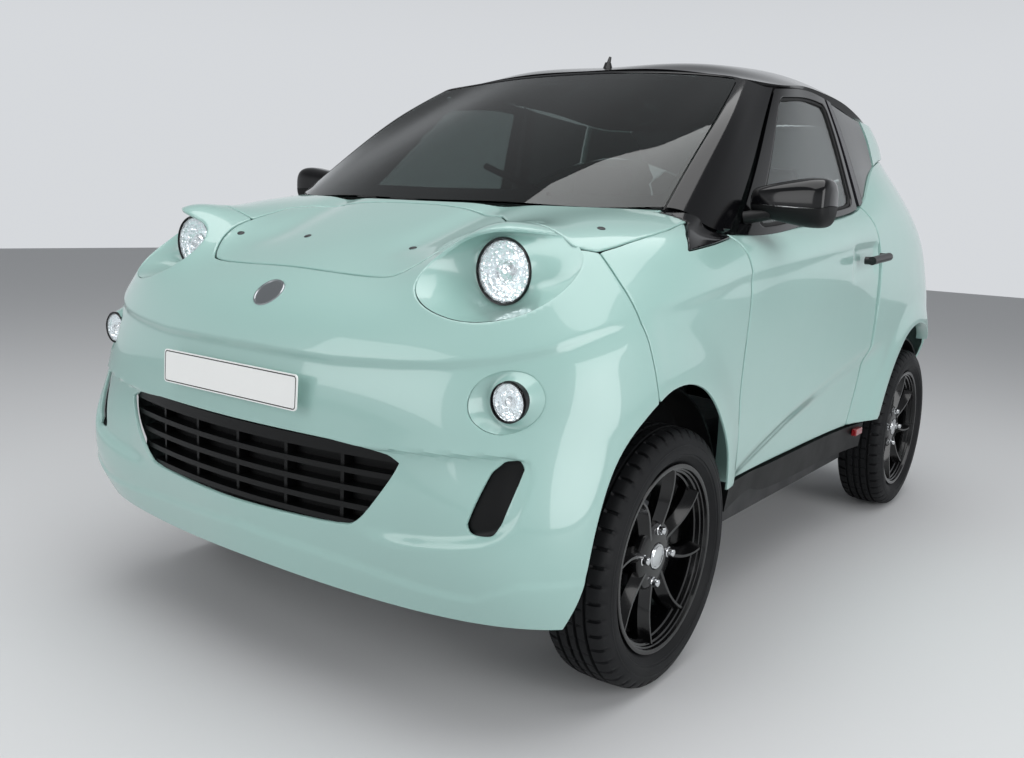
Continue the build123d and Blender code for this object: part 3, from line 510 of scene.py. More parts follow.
skin, _, _ = grid_of(BODY_ROWS, (-4.2, 4.2), (0, 6.9), FINE * 0.8)
nose = nose_shape(skin)
BUMPER_WALL, BOWL_POINTS, BOWL_RINGS, BOWL_COLLAR = 0.007, 96, 15, 0.03


def lamp_bowl(lip, lamp, radius, sag):
    """A dish from its lip on the bumper down to the hole round a lamp: both sides' points, faces."""
    near = nose.reshape(-1, 3)
    near = near[(near[:, 1] > 0.2) & (near[:, 0] > 0.98)]
    turns = np.linspace(0, 2 * math.pi, BOWL_POINTS + 1)[:-1]
    lip = np.array(lip)
    bearing = np.arctan2(lip[:, 1] - lamp[2], lip[:, 0] - lamp[1]) % (2 * math.pi)
    order = np.argsort(bearing)
    reach = np.hypot(lip[:, 0] - lamp[1], lip[:, 1] - lamp[2])[order]
    reach = np.interp(turns, bearing[order], reach, period=2 * math.pi)
    rim_y, rim_z = lamp[1] + reach * np.cos(turns), lamp[2] + reach * np.sin(turns)
    rim_x = []
    for y, z in zip(rim_y, rim_z):
        gap = np.hypot(near[:, 1] - y, near[:, 2] - z)
        close = np.argsort(gap)[:6]
        weight = 1 / (gap[close] + 1e-4) ** 2
        rim_x.append((near[close, 0] * weight).sum() / weight.sum())
    smoothed = np.convolve(np.tile(rim_x, 3), np.ones(5) / 5, "same")
    rim_x = smoothed[BOWL_POINTS:2 * BOWL_POINTS] - 0.003
    rings = []
    for s in np.linspace(0, 1, BOWL_RINGS):
        r = reach + (radius - reach) * s
        x = rim_x + (lamp[0] - 0.003 - rim_x) * (1 - (1 - s) ** 1.9)
        x = x - sag * np.sin(math.pi * s) ** 0.8 * blend(0.06, -0.02, rim_x - lamp[0])
        rings.append(np.stack([x, lamp[1] + r * np.cos(turns), lamp[2] + r * np.sin(turns)], axis=1))
    rings.append(rings[-1] - np.array([BOWL_COLLAR, 0, 0]))
    return both_sides(np.concatenate(rings), lattice(len(rings), BOWL_POINTS))


mounted("bumper_skin", cut_panel(nose, fascia_field(nose), BUMPER_WALL, 0.0025), lacquer, "car",
        "front_bumper")
mounted("lamp_bowls", joined([lamp_bowl(LAMP_LIP, LAMP, LAMP_R + 0.003, 0.022),
                              lamp_bowl(FOG_LIP, FOG, FOG_R + 0.002, 0.008)]),
        lacquer, "car", "front_bumper", 60)

# The hood lid and the cowl that frames it, thin mouldings with a pressed centre panel. The lid is
# hinged at its rear edge; the cowl is plugged down at four points.


LID_WALL, VALLEY_Y, VALLEY_HALF, VALLEY_DEPTH = 0.004, 0.2, 0.05, 0.007


def deck_shape(p):
    """The deck with the lamp pods and a shallow valley either side of the lid's raised middle."""
    p = pods(p)
    middle = VALLEY_Y + 0.12 * (1.2 - p[..., 0])
    valley = VALLEY_DEPTH * np.exp(-((np.abs(p[..., 1]) - middle) / VALLEY_HALF) ** 2)
    valley = valley * blend(1.16, 1.05, p[..., 0])
    return p - valley[..., None] * np.array([0.3, 0, 0.95])


def under_foot(p):
    """Above zero in the deck's rear corners, which the windscreen pillars' feet cover."""
    return np.minimum(0.702 - p[..., 0], np.abs(p[..., 1]) - 0.575)


skin, _, _ = grid_of(BODY_ROWS, (-2.7, 2.7), (4.2, 6.99), FINE)
deck = deck_shape(skin)
field = inside(deck[..., :2], HOOD_PLAN) + FAR * (deck[..., 2] < HOOD_LOW)
mounted("hood_lid", cut_panel(deck, field, LID_WALL, 0.003), lacquer, "hood", "hood")
skin, _, _ = grid_of(BODY_ROWS, (-4.6, 4.6), (5.0, 6.985), FINE)
deck = deck_shape(skin)
field = np.max([inside(deck[..., :2], COWL_PLAN) + 0.003, LID_GAP - inside(deck[..., :2], HOOD_PLAN),
                DECK_LOW - deck[..., 2], under_foot(deck) + 0.0015], axis=0)
mounted("cowl_skin", cut_panel(deck, field, LID_WALL, 0.003), lacquer, "car", "cowl")

# The front fenders, from the bumper seam to the door, with a rolled arch lip. Screwed on.
DOOR_FRONT_SEAM = [(0.536, 1.1), (0.534, 0.93), (0.526, 0.8), (0.508, 0.6), (0.458, 0.378),
                   (0.45, 0.2)]
SILL_Z = 0.378
FENDER = ([(x - 0.0022, z) for x, z in FASCIA_SEAM] + [(0.982, SILL_Z)]
          + [(x + 0.006, z) for x, z in reversed(DOOR_FRONT_SEAM[:5])])
FENDER_WALL = 0.005
FOOT_SPACE = [(0.81, 0.935), (0.776, 0.966), (0.709, 0.995), (0.709, 1.1), (0.4, 1.1), (0.4, 0.961),
              (0.541, 0.961), (0.664, 0.948)]


CREASE_X, CREASE_Z, TUCK = (-0.26, 0.26, 0.6, 0.81, 1.01), (0.959, 0.915, 0.888, 0.856, 0.831), 0.006
SCOOP_X, SCOOP_Z, SCOOP_DEPTH = (-0.6, -0.4, 0.1, 0.45), (0.66, 0.63, 0.52, 0.43), 0.02


def waist(p):
    """The crease that runs back from the front corner, with the side tucked in under it."""
    line = np.interp(p[..., 0], CREASE_X, CREASE_Z)
    tuck = TUCK * blend(0.0, -0.03, p[..., 2] - line) * blend(0.5, 0.8, p[..., 2])
    return outwards(p, -tuck * blend(0.995, 0.93, p[..., 0]))


def scoop(p):
    """The sunk facet low in the door, rising rearwards to the rear arch."""
    line = np.interp(p[..., 0], SCOOP_X, SCOOP_Z)
    sunk = SCOOP_DEPTH * blend(0.0, -0.07, p[..., 2] - line) * blend(-0.62, -0.45, p[..., 0])
    return outwards(p, -sunk * blend(0.56, 0.46, p[..., 0]))


skin, _, _ = grid_of(BODY_ROWS, (2.2, 5.5), (0.6, 6.96), FINE)
side = flared(waist(pods(skin)), FRONT_ARCH)
field = np.max([inside(side_view(side), FENDER), -inside(side_view(side), FRONT_ARCH),
                np.minimum(-inside(side[..., :2], COWL_PLAN), side[..., 2] - DECK_LOW),
                -inside(side_view(side), FOOT_SPACE)], axis=0)
mounted("fender_skins", both_sides(*cut_panel(side, field, FENDER_WALL, 0.002)), lacquer, "car",
        "fenders")

# The doors: a deep hollow moulding with the waist crease, a sunk facet low down and a flat pocket
# behind the handle, on two hinges at the front edge.
DOOR_REAR_SEAM = [(-0.44, 0.2), (-0.448, 0.378), (-0.462, 0.6), (-0.49, 0.88), (-0.47, 0.98),
                  (-0.425, 1.1)]
DOOR_WALL, POCKET_DEPTH = 0.052, 0.006
HANDLE_POCKET = [(-0.44, 0.878), (-0.24, 0.868), (-0.24, 0.92), (-0.44, 0.935)]


def inner_wall(p, thick):
    """The panel's inner face, stepped in towards the car's middle."""
    spine = np.stack([np.clip(p[..., 0], -1.0, 0.7), 0 * p[..., 1], p[..., 2]], axis=-1)
    inward = spine - p
    return p + thick * inward / np.linalg.norm(inward, axis=-1, keepdims=True)


skin, _, _ = grid_of(BODY_ROWS, (4.4, 7.6), (0.5, 6.94), FINE)
side = scoop(waist(skin))
pocket = POCKET_DEPTH * (1 - blend(0.0, 0.03, inside(side_view(side), HANDLE_POCKET)))
side = side - pocket[..., None] * np.array([0, 1, 0])
field = inside(side_view(side), DOOR_FRONT_SEAM[:5] + DOOR_REAR_SEAM[1:])
shape = cut_panel(side, field, DOOR_WALL, 0.003, inner_wall(skin, DOOR_WALL))
for hand in ("left", "right"):
    mounted(hand + "_door_skin", for_hand(hand, shape), lacquer, hand + "_door", hand + "_door")

# The quarter panels with the rear arches, the painted rear pillars above them and the corners
# beside the tailgate, one moulding each side.
HATCH_HALF, HATCH_GAP, BUMPER_TOP = 0.48, 0.006, 0.7
QUARTER_WALL, PILLAR_WALL, CORNER_WALL = 0.03, 0.024, 0.02
LAMP_PLAN = eased([(0.49, 0.80), (0.8, 0.80), (0.8, 1.06), (0.49, 1.06)], 1)
QUARTER_BACK, CORNER_FRONT, TAIL_FRONT = -1.195, -1.198, -1.203
QUARTER = [(x - 0.006, z) for x, z in DOOR_REAR_SEAM[1:]] + [
    (-0.43, 1.3), (QUARTER_BACK, 1.3), (QUARTER_BACK, SILL_Z)]
REAR_ARCH = eased([(-0.64, 0.05), (-0.64, 0.3), (-0.645, 0.4), (-0.67, 0.5), (-0.72, 0.583),
                   (-0.8, 0.649), (-0.91, 0.677), (-1.02, 0.673), (-1.13, 0.639), (-1.22, 0.577),
                   (-1.28, 0.5), (-1.31, 0.42), (-1.322, 0.33), (-1.322, 0.05)])
#   the glasshouse on the same sections: rim, lower, upper, edge
CABIN = [
    ((830, 0, 1012), (590, 0, 1155), (340, 0, 1292), (110, 0, 1404)),
    ((800, 300, 1013), (568, 292, 1155), (325, 280, 1288), (110, 268, 1396)),
    ((715, 520, 1014), (515, 500, 1148), (308, 476, 1274), (128, 447, 1376)),
    ((640, 607, 1012), (474, 584, 1142), (306, 556, 1262), (138, 512, 1360)),
    ((600, 640, 985), (425, 612, 1124), (264, 578, 1248), (98, 538, 1350)),
    ((520, 668, 968), (350, 632, 1110), (206, 594, 1240), (62, 553, 1350)),
    ((50, 678, 996), (-10, 640, 1130), (-72, 598, 1262), (-140, 553, 1372)),
    ((-430, 658, 1052), (-405, 624, 1160), (-375, 588, 1270), (-345, 550, 1368)),
    ((-790, 580, 1195), (-780, 568, 1240), (-768, 552, 1290), (-750, 530, 1340)),
    ((-1120, 490, 1225), (-1100, 485, 1265), (-1075, 472, 1308), (-1040, 455, 1350)),
    ((-1240, 290, 1160), (-1215, 285, 1235), (-1185, 276, 1310), (-1140, 262, 1378)),
    ((-1270, 0, 1130), (-1240, 0, 1215), (-1205, 0, 1300), (-1160, 0, 1388)),
]
CABIN_ROWS = wrapped(CABIN)


def haunch(p):
    """The facet under the door's scoop carried on to the arch."""
    return flared(scoop(p), REAR_ARCH, 0.09, 0.009)


def past_hatch(p):
    """Negative outboard of the tailgate and its gap."""
    return HATCH_HALF + HATCH_GAP - p[..., 1]


skin, _, _ = grid_of(BODY_ROWS, (6.7, 9.55), (0.5, 6.97), FINE * 1.2)
side = haunch(skin)
field = np.max([inside(side_view(side), QUARTER), -inside(side_view(side), REAR_ARCH),
                np.minimum(-1.0 - side[..., 0], past_hatch(side))], axis=0)
lower = cut_panel(side, field, QUARTER_WALL, 0.003, inner_wall(skin, QUARTER_WALL))
skin, _, _ = grid_of(CABIN_ROWS, (8.03, 9.5), (0.0, 2.95), FINE)
field = np.max([QUARTER_BACK - skin[..., 0], skin[..., 0] + 0.7,
                np.minimum(-1.0 - skin[..., 0], past_hatch(skin))], axis=0)
pillar = cut_panel(skin, field, PILLAR_WALL, 0.003)
skin, _, _ = grid_of(BODY_ROWS, (8.3, 10.7), (2.6, 6.97), FINE)
lamp_space = 0.003 - inside(end_view(skin), LAMP_PLAN)
field = np.max([skin[..., 0] - CORNER_FRONT, past_hatch(skin), BUMPER_TOP + 0.003 - skin[..., 2],
                lamp_space - FAR * (skin[..., 0] > -1.2)], axis=0)
corner = cut_panel(skin, field, CORNER_WALL, 0.003)
mounted("quarter_skins", both_sides(*joined([lower, pillar, corner])), lacquer, "car",
        "quarter_panels")

# The rear bumper and the tailgate's painted panel, with a shallow plate recess left bare. The
# bumper is screwed to the rear floor, and the tailgate hangs from two hinges under the roof.
TAIL_WALL, HATCH_WALL, RECESS_DEPTH = 0.008, 0.02, 0.006
PLATE_RECESS = [(-0.28, 0.76), (0.28, 0.76), (0.28, 0.9), (-0.28, 0.9)]
skin, _, _ = grid_of(BODY_ROWS, (8.3, 13.7), (0.2, 6.9), FINE * 1.4)
field = np.max([skin[..., 0] - TAIL_FRONT, skin[..., 2] - BUMPER_TOP + 0.003,
                -inside(side_view(skin), REAR_ARCH) - FAR * (np.abs(skin[..., 1]) < 0.5)], axis=0)
mounted("rear_bumper_skin", cut_panel(skin, field, TAIL_WALL, 0.004), lacquer, "car",
        "rear_bumper")
skin, _, _ = grid_of(BODY_ROWS, (8.6, 13.4), (2.4, 6.97), FINE * 1.4)
recess = RECESS_DEPTH * (1 - blend(-0.012, 0.0, inside(end_view(skin), PLATE_RECESS)))
skin = skin + recess[..., None] * np.array([1, 0, 0])
field = np.max([skin[..., 0] - TAIL_FRONT, np.abs(skin[..., 1]) - HATCH_HALF,
                BUMPER_TOP + 0.005 - skin[..., 2]], axis=0)
mounted("tailgate_skin", cut_panel(skin, field, HATCH_WALL, 0.003), lacquer, "tailgate",
        "tailgate")

# ---- Roof and glasshouse frame ---------------------------------------------------------------
# The roof, windscreen frame with its feet, door frames and rear posts are ABS in gloss black
# lacquer, so they mirror the room. The roof is bonded on over the frames' top edges.
#   the roof's half sections, nose to tail: edge, crown, ridge
ROOF = [
    ((130, 510, 1360), (112, 300, 1394), (108, 0, 1405)),
    ((20, 556, 1357), (20, 345, 1414), (20, 0, 1425)),
    ((-140, 556, 1374), (-140, 372, 1432), (-140, 0, 1450)),
    ((-345, 553, 1376), (-345, 388, 1443), (-345, 0, 1466)),
    ((-560, 545, 1368), (-560, 388, 1441), (-560, 0, 1470)),
    ((-755, 530, 1349), (-755, 378, 1430), (-755, 0, 1464)),
    ((-910, 500, 1346), (-925, 345, 1412), (-930, 0, 1448)),
    ((-1030, 460, 1352), (-1055, 290, 1396), (-1065, 0, 1424)),
    ((-1085, 420, 1356), (-1140, 250, 1378), (-1158, 0, 1388)),
]
ROOF_WALL, HEADER_WALL, FOOT_WALL, DOOR_FRAME_WALL = 0.02, 0.024, 0.006, 0.026
ROOF_ROWS = np.array([row + tuple((x, -y, z) for x, y, z in row[1::-1]) for row in ROOF]) / 1000
# Gloss black over smooth ABS: dark, with sharp reflections that hardly ripple.
gloss_black = roughen(finish_of("black_gloss_lacquer_on_abs", "#08080A", 0.12, Coat_Weight=0.25,
                                Coat_Roughness=0.03, Specular_IOR_Level=0.3), 6.0, 0.004)
skin, _, _ = grid_of(ROOF_ROWS, (0.02, 8), (0.03, 3.97), FINE * 1.6)
mounted("roof_skin", cut_panel(skin, np.full(skin.shape[:2], -1.0), ROOF_WALL, 0.003), gloss_black, "car",
        "roof")


def opening(grid, u, v, around, up, corner):
    """Signed distance to a round-cornered opening in a panel, given in sections and levels."""
    _, along, rise = facing(grid)
    du = (u[-1, 0] - u[0, 0]) / (u.shape[0] - 1)
    dv = (v[0, -1] - v[0, 0]) / (v.shape[1] - 1)
    along, rise = along.mean() / du, rise.mean() / dv
    x = (np.abs(u - sum(around) / 2) - (around[1] - around[0]) / 2) * along + corner
    y = (np.abs(v - sum(up) / 2) - (up[1] - up[0]) / 2) * rise + corner
    return np.hypot(np.maximum(x, 0), np.maximum(y, 0)) + np.minimum(np.maximum(x, y), 0) - corner


FOOT = [(0.806, 0.937), (0.773, 0.963), (0.706, 0.992), (0.706, 1.1), (0.538, 1.1), (0.538, 0.963),
        (0.664, 0.95)]
SCREEN_HOLE = (-2.62, 2.62), (-0.6, 2.92), 0.04
skin, u, v = grid_of(CABIN_ROWS, (-4.96, 4.96), (0.02, 2.96), FINE * 1.2)
pillar_foot = np.where(skin[..., 0] > 0.541, -1, 0.979 - skin[..., 2])
header = cut_panel(skin, np.maximum(-opening(skin, u, v, *SCREEN_HOLE), pillar_foot), HEADER_WALL, 0.003)
skin, _, _ = grid_of(BODY_ROWS, (2.6, 5.3), (4.9, 6.98), FINE * 0.8)
deck_beside = np.min([-inside(skin[..., :2], COWL_PLAN) + 0.002, skin[..., 2] - DECK_LOW,
                      0.0015 - under_foot(skin)], axis=0)
field = np.maximum(inside(side_view(skin), FOOT), deck_beside)
feet = both_sides(*cut_panel(skin, field, FOOT_WALL, 0.002))
mounted("screen_frame_skin", joined([header, feet]), gloss_black, "car", "windscreen_frame")

# A soft rubber seal is pressed round the inside of each door's window opening. Moulded EPDM is
# matt and slightly grained.
DOOR_HOLE = (5.22, 6.86), (0.16, 2.72), 0.035
SEAL_INSET, SEAL_WIDE, SEAL_DEEP = 0.004, 0.011, 0.016
seal_rubber = roughen(finish_of("black_epdm_window_seal", "#101112", 0.7), 0.9, 0.05)
skin, u, v = grid_of(CABIN_ROWS, (5.05, 6.94), (0.02, 2.93), FINE * 0.7)
window = opening(skin, u, v, *DOOR_HOLE)
framing = cut_panel(skin, -window, DOOR_FRAME_WALL, 0.003)
inset = skin - SEAL_INSET * facing(skin)[0]
seal = cut_panel(inset, np.maximum(window, -SEAL_WIDE - window), SEAL_DEEP, 0.002)
for hand in ("left", "right"):
    mounted(hand + "_door_frame_form", for_hand(hand, framing), gloss_black, hand + "_door",
            hand + "_door_frame")
    mounted(hand + "_window_seal_form", for_hand(hand, seal), seal_rubber, hand + "_door")

# ---- Glass -----------------------------------------------------------------------------------
# Laminated windscreen and toughened panes in a grey-green body tint, with a black ceramic band
# fired on round the edge of the windscreen. All are bonded to their frames.


def finished(material, *nodes):
    """Gives CAD nodes their material."""
    for name in nodes:
        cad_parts[name].data.materials.clear()
        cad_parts[name].data.materials.append(material)


def safety_glass(name, tint):
    """Toughened or laminated glass in a body tint: clear gloss with a long, faint roll wave."""
    return roughen(finish_of(name, tint, 0.0, Transmission_Weight=1.0, IOR=1.45), 180.0, 0.01)


finished(safety_glass("tinted_safety_glass", "#5F6B69"), "windscreen")
finished(safety_glass("clear_tempered_door_glass", "#C3CDCB"), "left_door_glass", "right_door_glass")
finished(safety_glass("dark_privacy_glass", "#363C3B"), "quarter_glass", "tailgate_glass")
# Fired ceramic frit: a dense, faintly granular black.
ceramic = roughen(finish_of("fired_black_ceramic_band", "#09090A", 0.3), 0.6, 0.01)
BAND_HOLE, BAND_BEHIND = ((-2.46, 2.46), (0.26, 2.74), 0.05), 0.0085
skin, u, v = grid_of(CABIN_ROWS, (-2.6, 2.6), (0.02, 2.86), FINE)
behind = skin - BAND_BEHIND * facing(skin)[0]
mounted("windscreen_band", cut_panel(behind, -opening(behind, u, v, *BAND_HOLE), 0.001, 0.0004), ceramic,
        "car")

# ---- Front lamps -----------------------------------------------------------------------------
# Each lamp is a black cup with a stepped, vacuum-aluminised reflector and a projector eye behind a
# clear polycarbonate dome, held in its bowl by a dark bezel.


def spun(profile, steps=96, closed=True):
    """A profile of (y, radius) turned about the Y axis."""
    profile = np.array(profile, float)
    turns = np.linspace(0, 2 * math.pi, steps + 1)[:-1]
    points = np.stack([np.outer(np.cos(turns), profile[:, 1]),
                       np.broadcast_to(profile[:, 0], (steps, len(profile))),
                       np.outer(np.sin(turns), profile[:, 1])], axis=-1).reshape(-1, 3)
    return points, lattice(steps, len(profile), closed, looped=True)


def dial(profile, at, steps=72):
    """A profile of (x, radius) turned about a line along the car, closed on its axis."""
    points, faces = spun(profile, steps, closed=False)
    return points[:, [1, 0, 2]] + np.array(at), turned_over(faces)


# Vacuum-laid aluminium mirrors; the lamps' reflector also carries a faint painted glow, in facets some
# 8 mm across, that brightens it. The cover is hard and clear, and the bezel is satin moulded ABS.
mirror_finish = roughen(finish_of("vacuum_aluminised_reflector", "#EEF0F2", 0.1, 1.0), 1.0, 0.01)
# Its faint emission is a painted glow that brightens the lamp reflectors and eyes.
reflector_with_painted_glow = finish_of("aluminised_reflector_with_painted_glow", "#F2F4F5", 0.12, 1.0, Emission_Strength=0.16,
                          Emission_Color=linear("#F3FAFF"))
tree = reflector_with_painted_glow.node_tree
place = add_node(tree, "ShaderNodeTexCoord")
facets = add_node(tree, "ShaderNodeTexVoronoi", Vector=place.outputs["Object"], Scale=120.0)
relief = add_node(tree, "ShaderNodeBump", Height=facets.outputs["Distance"], Distance=0.002, Strength=1.0)
tree.links.new(relief.outputs["Normal"], tree.nodes["Principled BSDF"].inputs["Normal"])
clear_cover = finish_of("clear_polycarbonate_cover", "#F4F7F8", 0.0, Transmission_Weight=1.0, IOR=1.3)
bezel_black = roughen(finish_of("satin_black_lamp_bezel", "#111214", 0.3), 0.8, 0.02)
finished(roughen(clear_cover, 60.0, 0.01), "lamp_lenses")
finished(bezel_black, "front_lamps")
#   turned profiles: x in metres, radius as a share of the lamp's
REFLECTOR = [(-0.004, 0.93), (-0.012, 0.86), (-0.012, 0.8), (-0.021, 0.74), (-0.021, 0.66), (-0.029, 0.6),
             (-0.029, 0.5), (-0.034, 0.42), (-0.034, 0.0)]
EYE = [(-0.034, 0.4), (-0.018, 0.38), (-0.014, 0.34), (-0.016, 0.3), (-0.01, 0.2), (-0.008, 0.0)]
BEZEL = [(-0.02, 1.0), (0.0005, 1.0), (0.0025, 0.985), (0.002, 0.96), (-0.001, 0.945), (-0.006, 0.94)]
for name, at, radius in (("head", LAMP, LAMP_R), ("fog", FOG, FOG_R)):
    for label, form, finish, steps, sharp, slot in (("reflector", REFLECTOR, reflector_with_painted_glow, 16, 4, "lens"),
                                                    ("eye", EYE, reflector_with_painted_glow, 40, 30, "lens"),
                                                    ("bezel", BEZEL, bezel_black, 96, 40, "black_plastic")):
        scaled = [(x * (radius / LAMP_R if x < 0 else 1), r * (radius + 0.002)) for x, r in form]
        mounted("{}_lamp_{}".format(name, label), both_sides(*dial(scaled, at, steps)), finish, "car",
                sharp=sharp)

# ---- Grille, vents and plate -----------------------------------------------------------------
# Grille and vents are black polypropylene mouldings clipped in from behind; the number plate is a
# blank white pressed sheet with a thin black border, and the round badge above it is left plain.
# Moulded polypropylene: a fine spark grain that scatters light, deeper and smoother in the grille. The deeper
# black also colours the sheet behind the grille, which is painted shade.
black_plastic = roughen(finish_of("grained_black_polypropylene", "#0E0F10", 0.5, Specular_IOR_Level=0.25),
                        1.2, 0.1, mottle=0.05)
deep_black_and_painted_shade = roughen(finish_of("deep_black_grille_plastic_and_painted_shade", "#060708", 0.42, Specular_IOR_Level=0.25),
                     1.0, 0.06, mottle=0.05)
finished(black_plastic, "wheel_liners", "wiper")
finished(deep_black_and_painted_shade, "grille")


def backing(depth, outline, spread, wall):
    """A sheet a depth behind the bumper's face, a little larger than its opening."""
    sheet = nose - np.array([depth, 0, 0])
    return cut_panel(sheet, np.maximum(inside(end_view(sheet), outline) - spread, 1.1 - sheet[..., 0]),
                     wall, 0.001)


mounted("vent_inserts", backing(0.012, VENT_OUTLINE, 0.006, 0.004), deep_black_and_painted_shade, "car",
        "bumper_vents")
# A dark sheet behind the grille opening: painted shade standing in for the shadowed space inside the nose.
mounted("grille_painted_shade_sheet", backing(0.064, GRILLE_OUTLINE, 0.11, 0.003), deep_black_and_painted_shade, "car")
# Reflective sheet is a flat, slightly pearly white, and its border is screen-printed ink.
finished(roughen(finish_of("white_reflective_plate_sheet", "#F1F2F0", 0.35), 0.4, 0.008), "front_plate")
plate_ink = roughen(finish_of("black_plate_border_ink", "#17181A", 0.4), 0.5, 0.005)
PLATE_X, PLATE_Z, PLATE_LEAN = 1.3811, 0.643, 0.04


def ring_strip(half_long, half_high, width, corner, thick):
    """A flat round-cornered border in the Y-Z plane, facing forwards."""
    def loop(grow):
        """The border's outline, grown outwards."""
        pts = []
        for cy, cz, start in ((1, 1, 0), (-1, 1, 90), (-1, -1, 180), (1, -1, 270)):
            for a in np.radians(np.linspace(start, start + 90, 9)):
                pts.append((cy * (half_long - corner) + (corner + grow) * math.cos(a),
                            cz * (half_high - corner) + (corner + grow) * math.sin(a)))
        return np.array(pts)
    rings = [(thick, loop(0)), (thick, loop(-width)), (0, loop(-width)), (0, loop(0))]
    points = np.concatenate([np.column_stack([np.full(len(l), x), l]) for x, l in rings])
    return points, lattice(len(rings), len(rings[0][1]), looped=True)


points, faces = ring_strip(0.2045, 0.0325, 0.0022, 0.007, 0.0005)
points = points + np.array([PLATE_X, 0, PLATE_Z])
points[:, 0] -= (points[:, 2] - PLATE_Z) * PLATE_LEAN
mounted("plate_border", (points, faces), plate_ink, "car")
# Satin plating on moulded ABS: a soft silver without a mirror's sharpness.
satin_metal = roughen(finish_of("satin_plated_abs_badge", "#A9ADB0", 0.28, 1.0), 1.2, 0.01)
BADGE = [(-0.004, 0.036), (0.0015, 0.036), (0.0035, 0.0345), (0.0035, 0.0325), (0.0018, 0.031),
         (0.0026, 0.02), (0.003, 0.0)]
BADGE_AT, BADGE_LEAN = (1.289, 0.018, 0.812), 47


def turned(points, degrees):
    """Points turned about the Y axis, from X towards Z."""
    c, s = math.cos(math.radians(degrees)), math.sin(math.radians(degrees))
    x, y, z = points.T
    return np.stack([x * c - z * s, y, x * s + z * c], axis=1)


points, faces = dial(BADGE, (0, 0, 0), 80)
mounted("plain_round_badge", (turned(points, BADGE_LEAN) + np.array(BADGE_AT), faces), satin_metal, "car",
        sharp=30)

# ---- Mirrors, handles, wiper, aerial and plugs -----------------------------------------------
# Mirror shells are two mouldings, gloss above and grained below, on a stalk at the door's front
# corner. Pull handles, aerial and the round plugs over the deck's screws are black plastic.
MIRROR_HALF = [(0.668, 0.016, 0.016), (0.676, 0.032, 0.027), (0.695, 0.042, 0.034), (0.73, 0.049, 0.042),
               (0.775, 0.054, 0.05), (0.812, 0.0565, 0.0545), (0.838, 0.054, 0.053), (0.85, 0.046, 0.045),
               (0.857, 0.026, 0.028)]
MIRROR_X, MIRROR_Z, SHELL_SQUARENESS = 0.405, 1.046, 0.72
SHELL_POINTS, ARM_POINTS, ARM_STEPS = 33, 24, 20


def finer(table, count):
    """A table's rows drawn finer along a spline, at equal steps."""
    rows = np.array(table)
    return through(rows, np.arange(len(rows)), np.linspace(0, len(rows) - 1, count))


def tube(rings, around):
    """Faces of a closed tube: a lattice with both ends shut."""
    last = (rings - 1) * around
    return lattice(rings, around) + [tuple(reversed(range(around))), tuple(range(last, last + around))]


def mirror_part(low, high, lift):
    """The mirror shell between two angles round its long axis, closed by a flat."""
    turns = np.radians(np.linspace(low, high, SHELL_POINTS))
    c, s = [np.sign(a) * np.abs(a) ** SHELL_SQUARENESS for a in (np.cos(turns), np.sin(turns))]
    rings = [np.stack([MIRROR_X + c * half_x, np.full(SHELL_POINTS, y), MIRROR_Z + lift + s * half_z], axis=1)
             for y, half_x, half_z in finer(MIRROR_HALF, 40)]
    return np.concatenate(rings), turned_over(tube(len(rings), SHELL_POINTS))


def stalk(start, end, first, last):
    """A tapering oval arm between two points."""
    start, end = np.array(start), np.array(end)
    ahead_way = (end - start) / np.linalg.norm(end - start)
    side_way = np.cross(ahead_way, (0, 0, 1.0))
    side_way /= np.linalg.norm(side_way)
    up_way = np.cross(side_way, ahead_way)
    turns = np.linspace(0, 2 * math.pi, ARM_POINTS + 1)[:-1]
    points = []
    for s in np.linspace(0, 1, ARM_STEPS):
        a, b = np.array(first) * (1 - s) + np.array(last) * s
        centre = start + (end - start) * s
        points.append(centre + np.outer(np.cos(turns) * a, side_way) + np.outer(np.sin(turns) * b, up_way))
    return np.concatenate(points), tube(ARM_STEPS, ARM_POINTS)


upper = mirror_part(-8, 188, 0.001)
lower = mirror_part(187, 353, -0.001)
arm = stalk((0.44, 0.664, 1.006), (0.424, 0.72, 1.018), (0.028, 0.015), (0.024, 0.014))
points, faces = dial([(-0.0005, 0.045), (0.0005, 0.0448), (0.0008, 0.0)], (0, 0, 0), 48)
glass = points * np.array([-1, 1.65, 0.84]) + np.array([0.3485, 0.765, MIRROR_Z]), turned_over(faces)
for hand in ("left", "right"):
    for name, form, finish, slot in (("cap", upper, gloss_black, "black_gloss"),
                                     ("tray", lower, black_plastic, "black_plastic"),
                                     ("arm", arm, black_plastic, "black_plastic"),
                                     ("reflector", glass, mirror_finish, "lens")):
        mounted("{}_mirror_{}".format(hand, name), for_hand(hand, form), finish, hand + "_door",
                hand + "_mirror", 50)
# Glass-filled nylon comes out of the mould satin, the plugs a shade greyer.
handle_black = roughen(finish_of("satin_black_nylon", "#131415", 0.34), 0.7, 0.03)
finished(handle_black, "left_handle", "right_handle", "antenna")
plug_grey = roughen(finish_of("dark_grey_plug_nylon", "#2A2C2E", 0.45), 0.6, 0.02)
PLUG = [(-0.003, 0.0085), (0.0006, 0.0085), (0.0014, 0.0075), (0.0016, 0.0)]
LID_PLUGS = (1.103, -0.306), (1.078, -0.097), (1.072, 0.21)
COWL_PLUGS = (0.925, 0.577), (0.925, -0.577), (0.696, 0.602), (0.696, -0.602)
deck_points, deck_normals = deck.reshape(-1, 3), facing(deck)[0].reshape(-1, 3)


def plugs(spots):
    """Round plugs set square on the deck."""
    forms = []
    for spot in spots:
        near = np.argmin(((deck_points[:, :2] - np.array(spot)) ** 2).sum(axis=1))
        points, faces = dial(PLUG, (0, 0, 0), 28)
        turn = Vector((1, 0, 0)).rotation_difference(Vector(deck_normals[near])).to_matrix()
        forms.append((points @ np.array(turn).T + deck_points[near], faces))
    return joined(forms)


mounted("lid_plugs", plugs(LID_PLUGS), plug_grey, "hood")
mounted("cowl_plugs", plugs(COWL_PLUGS), plug_grey, "car")

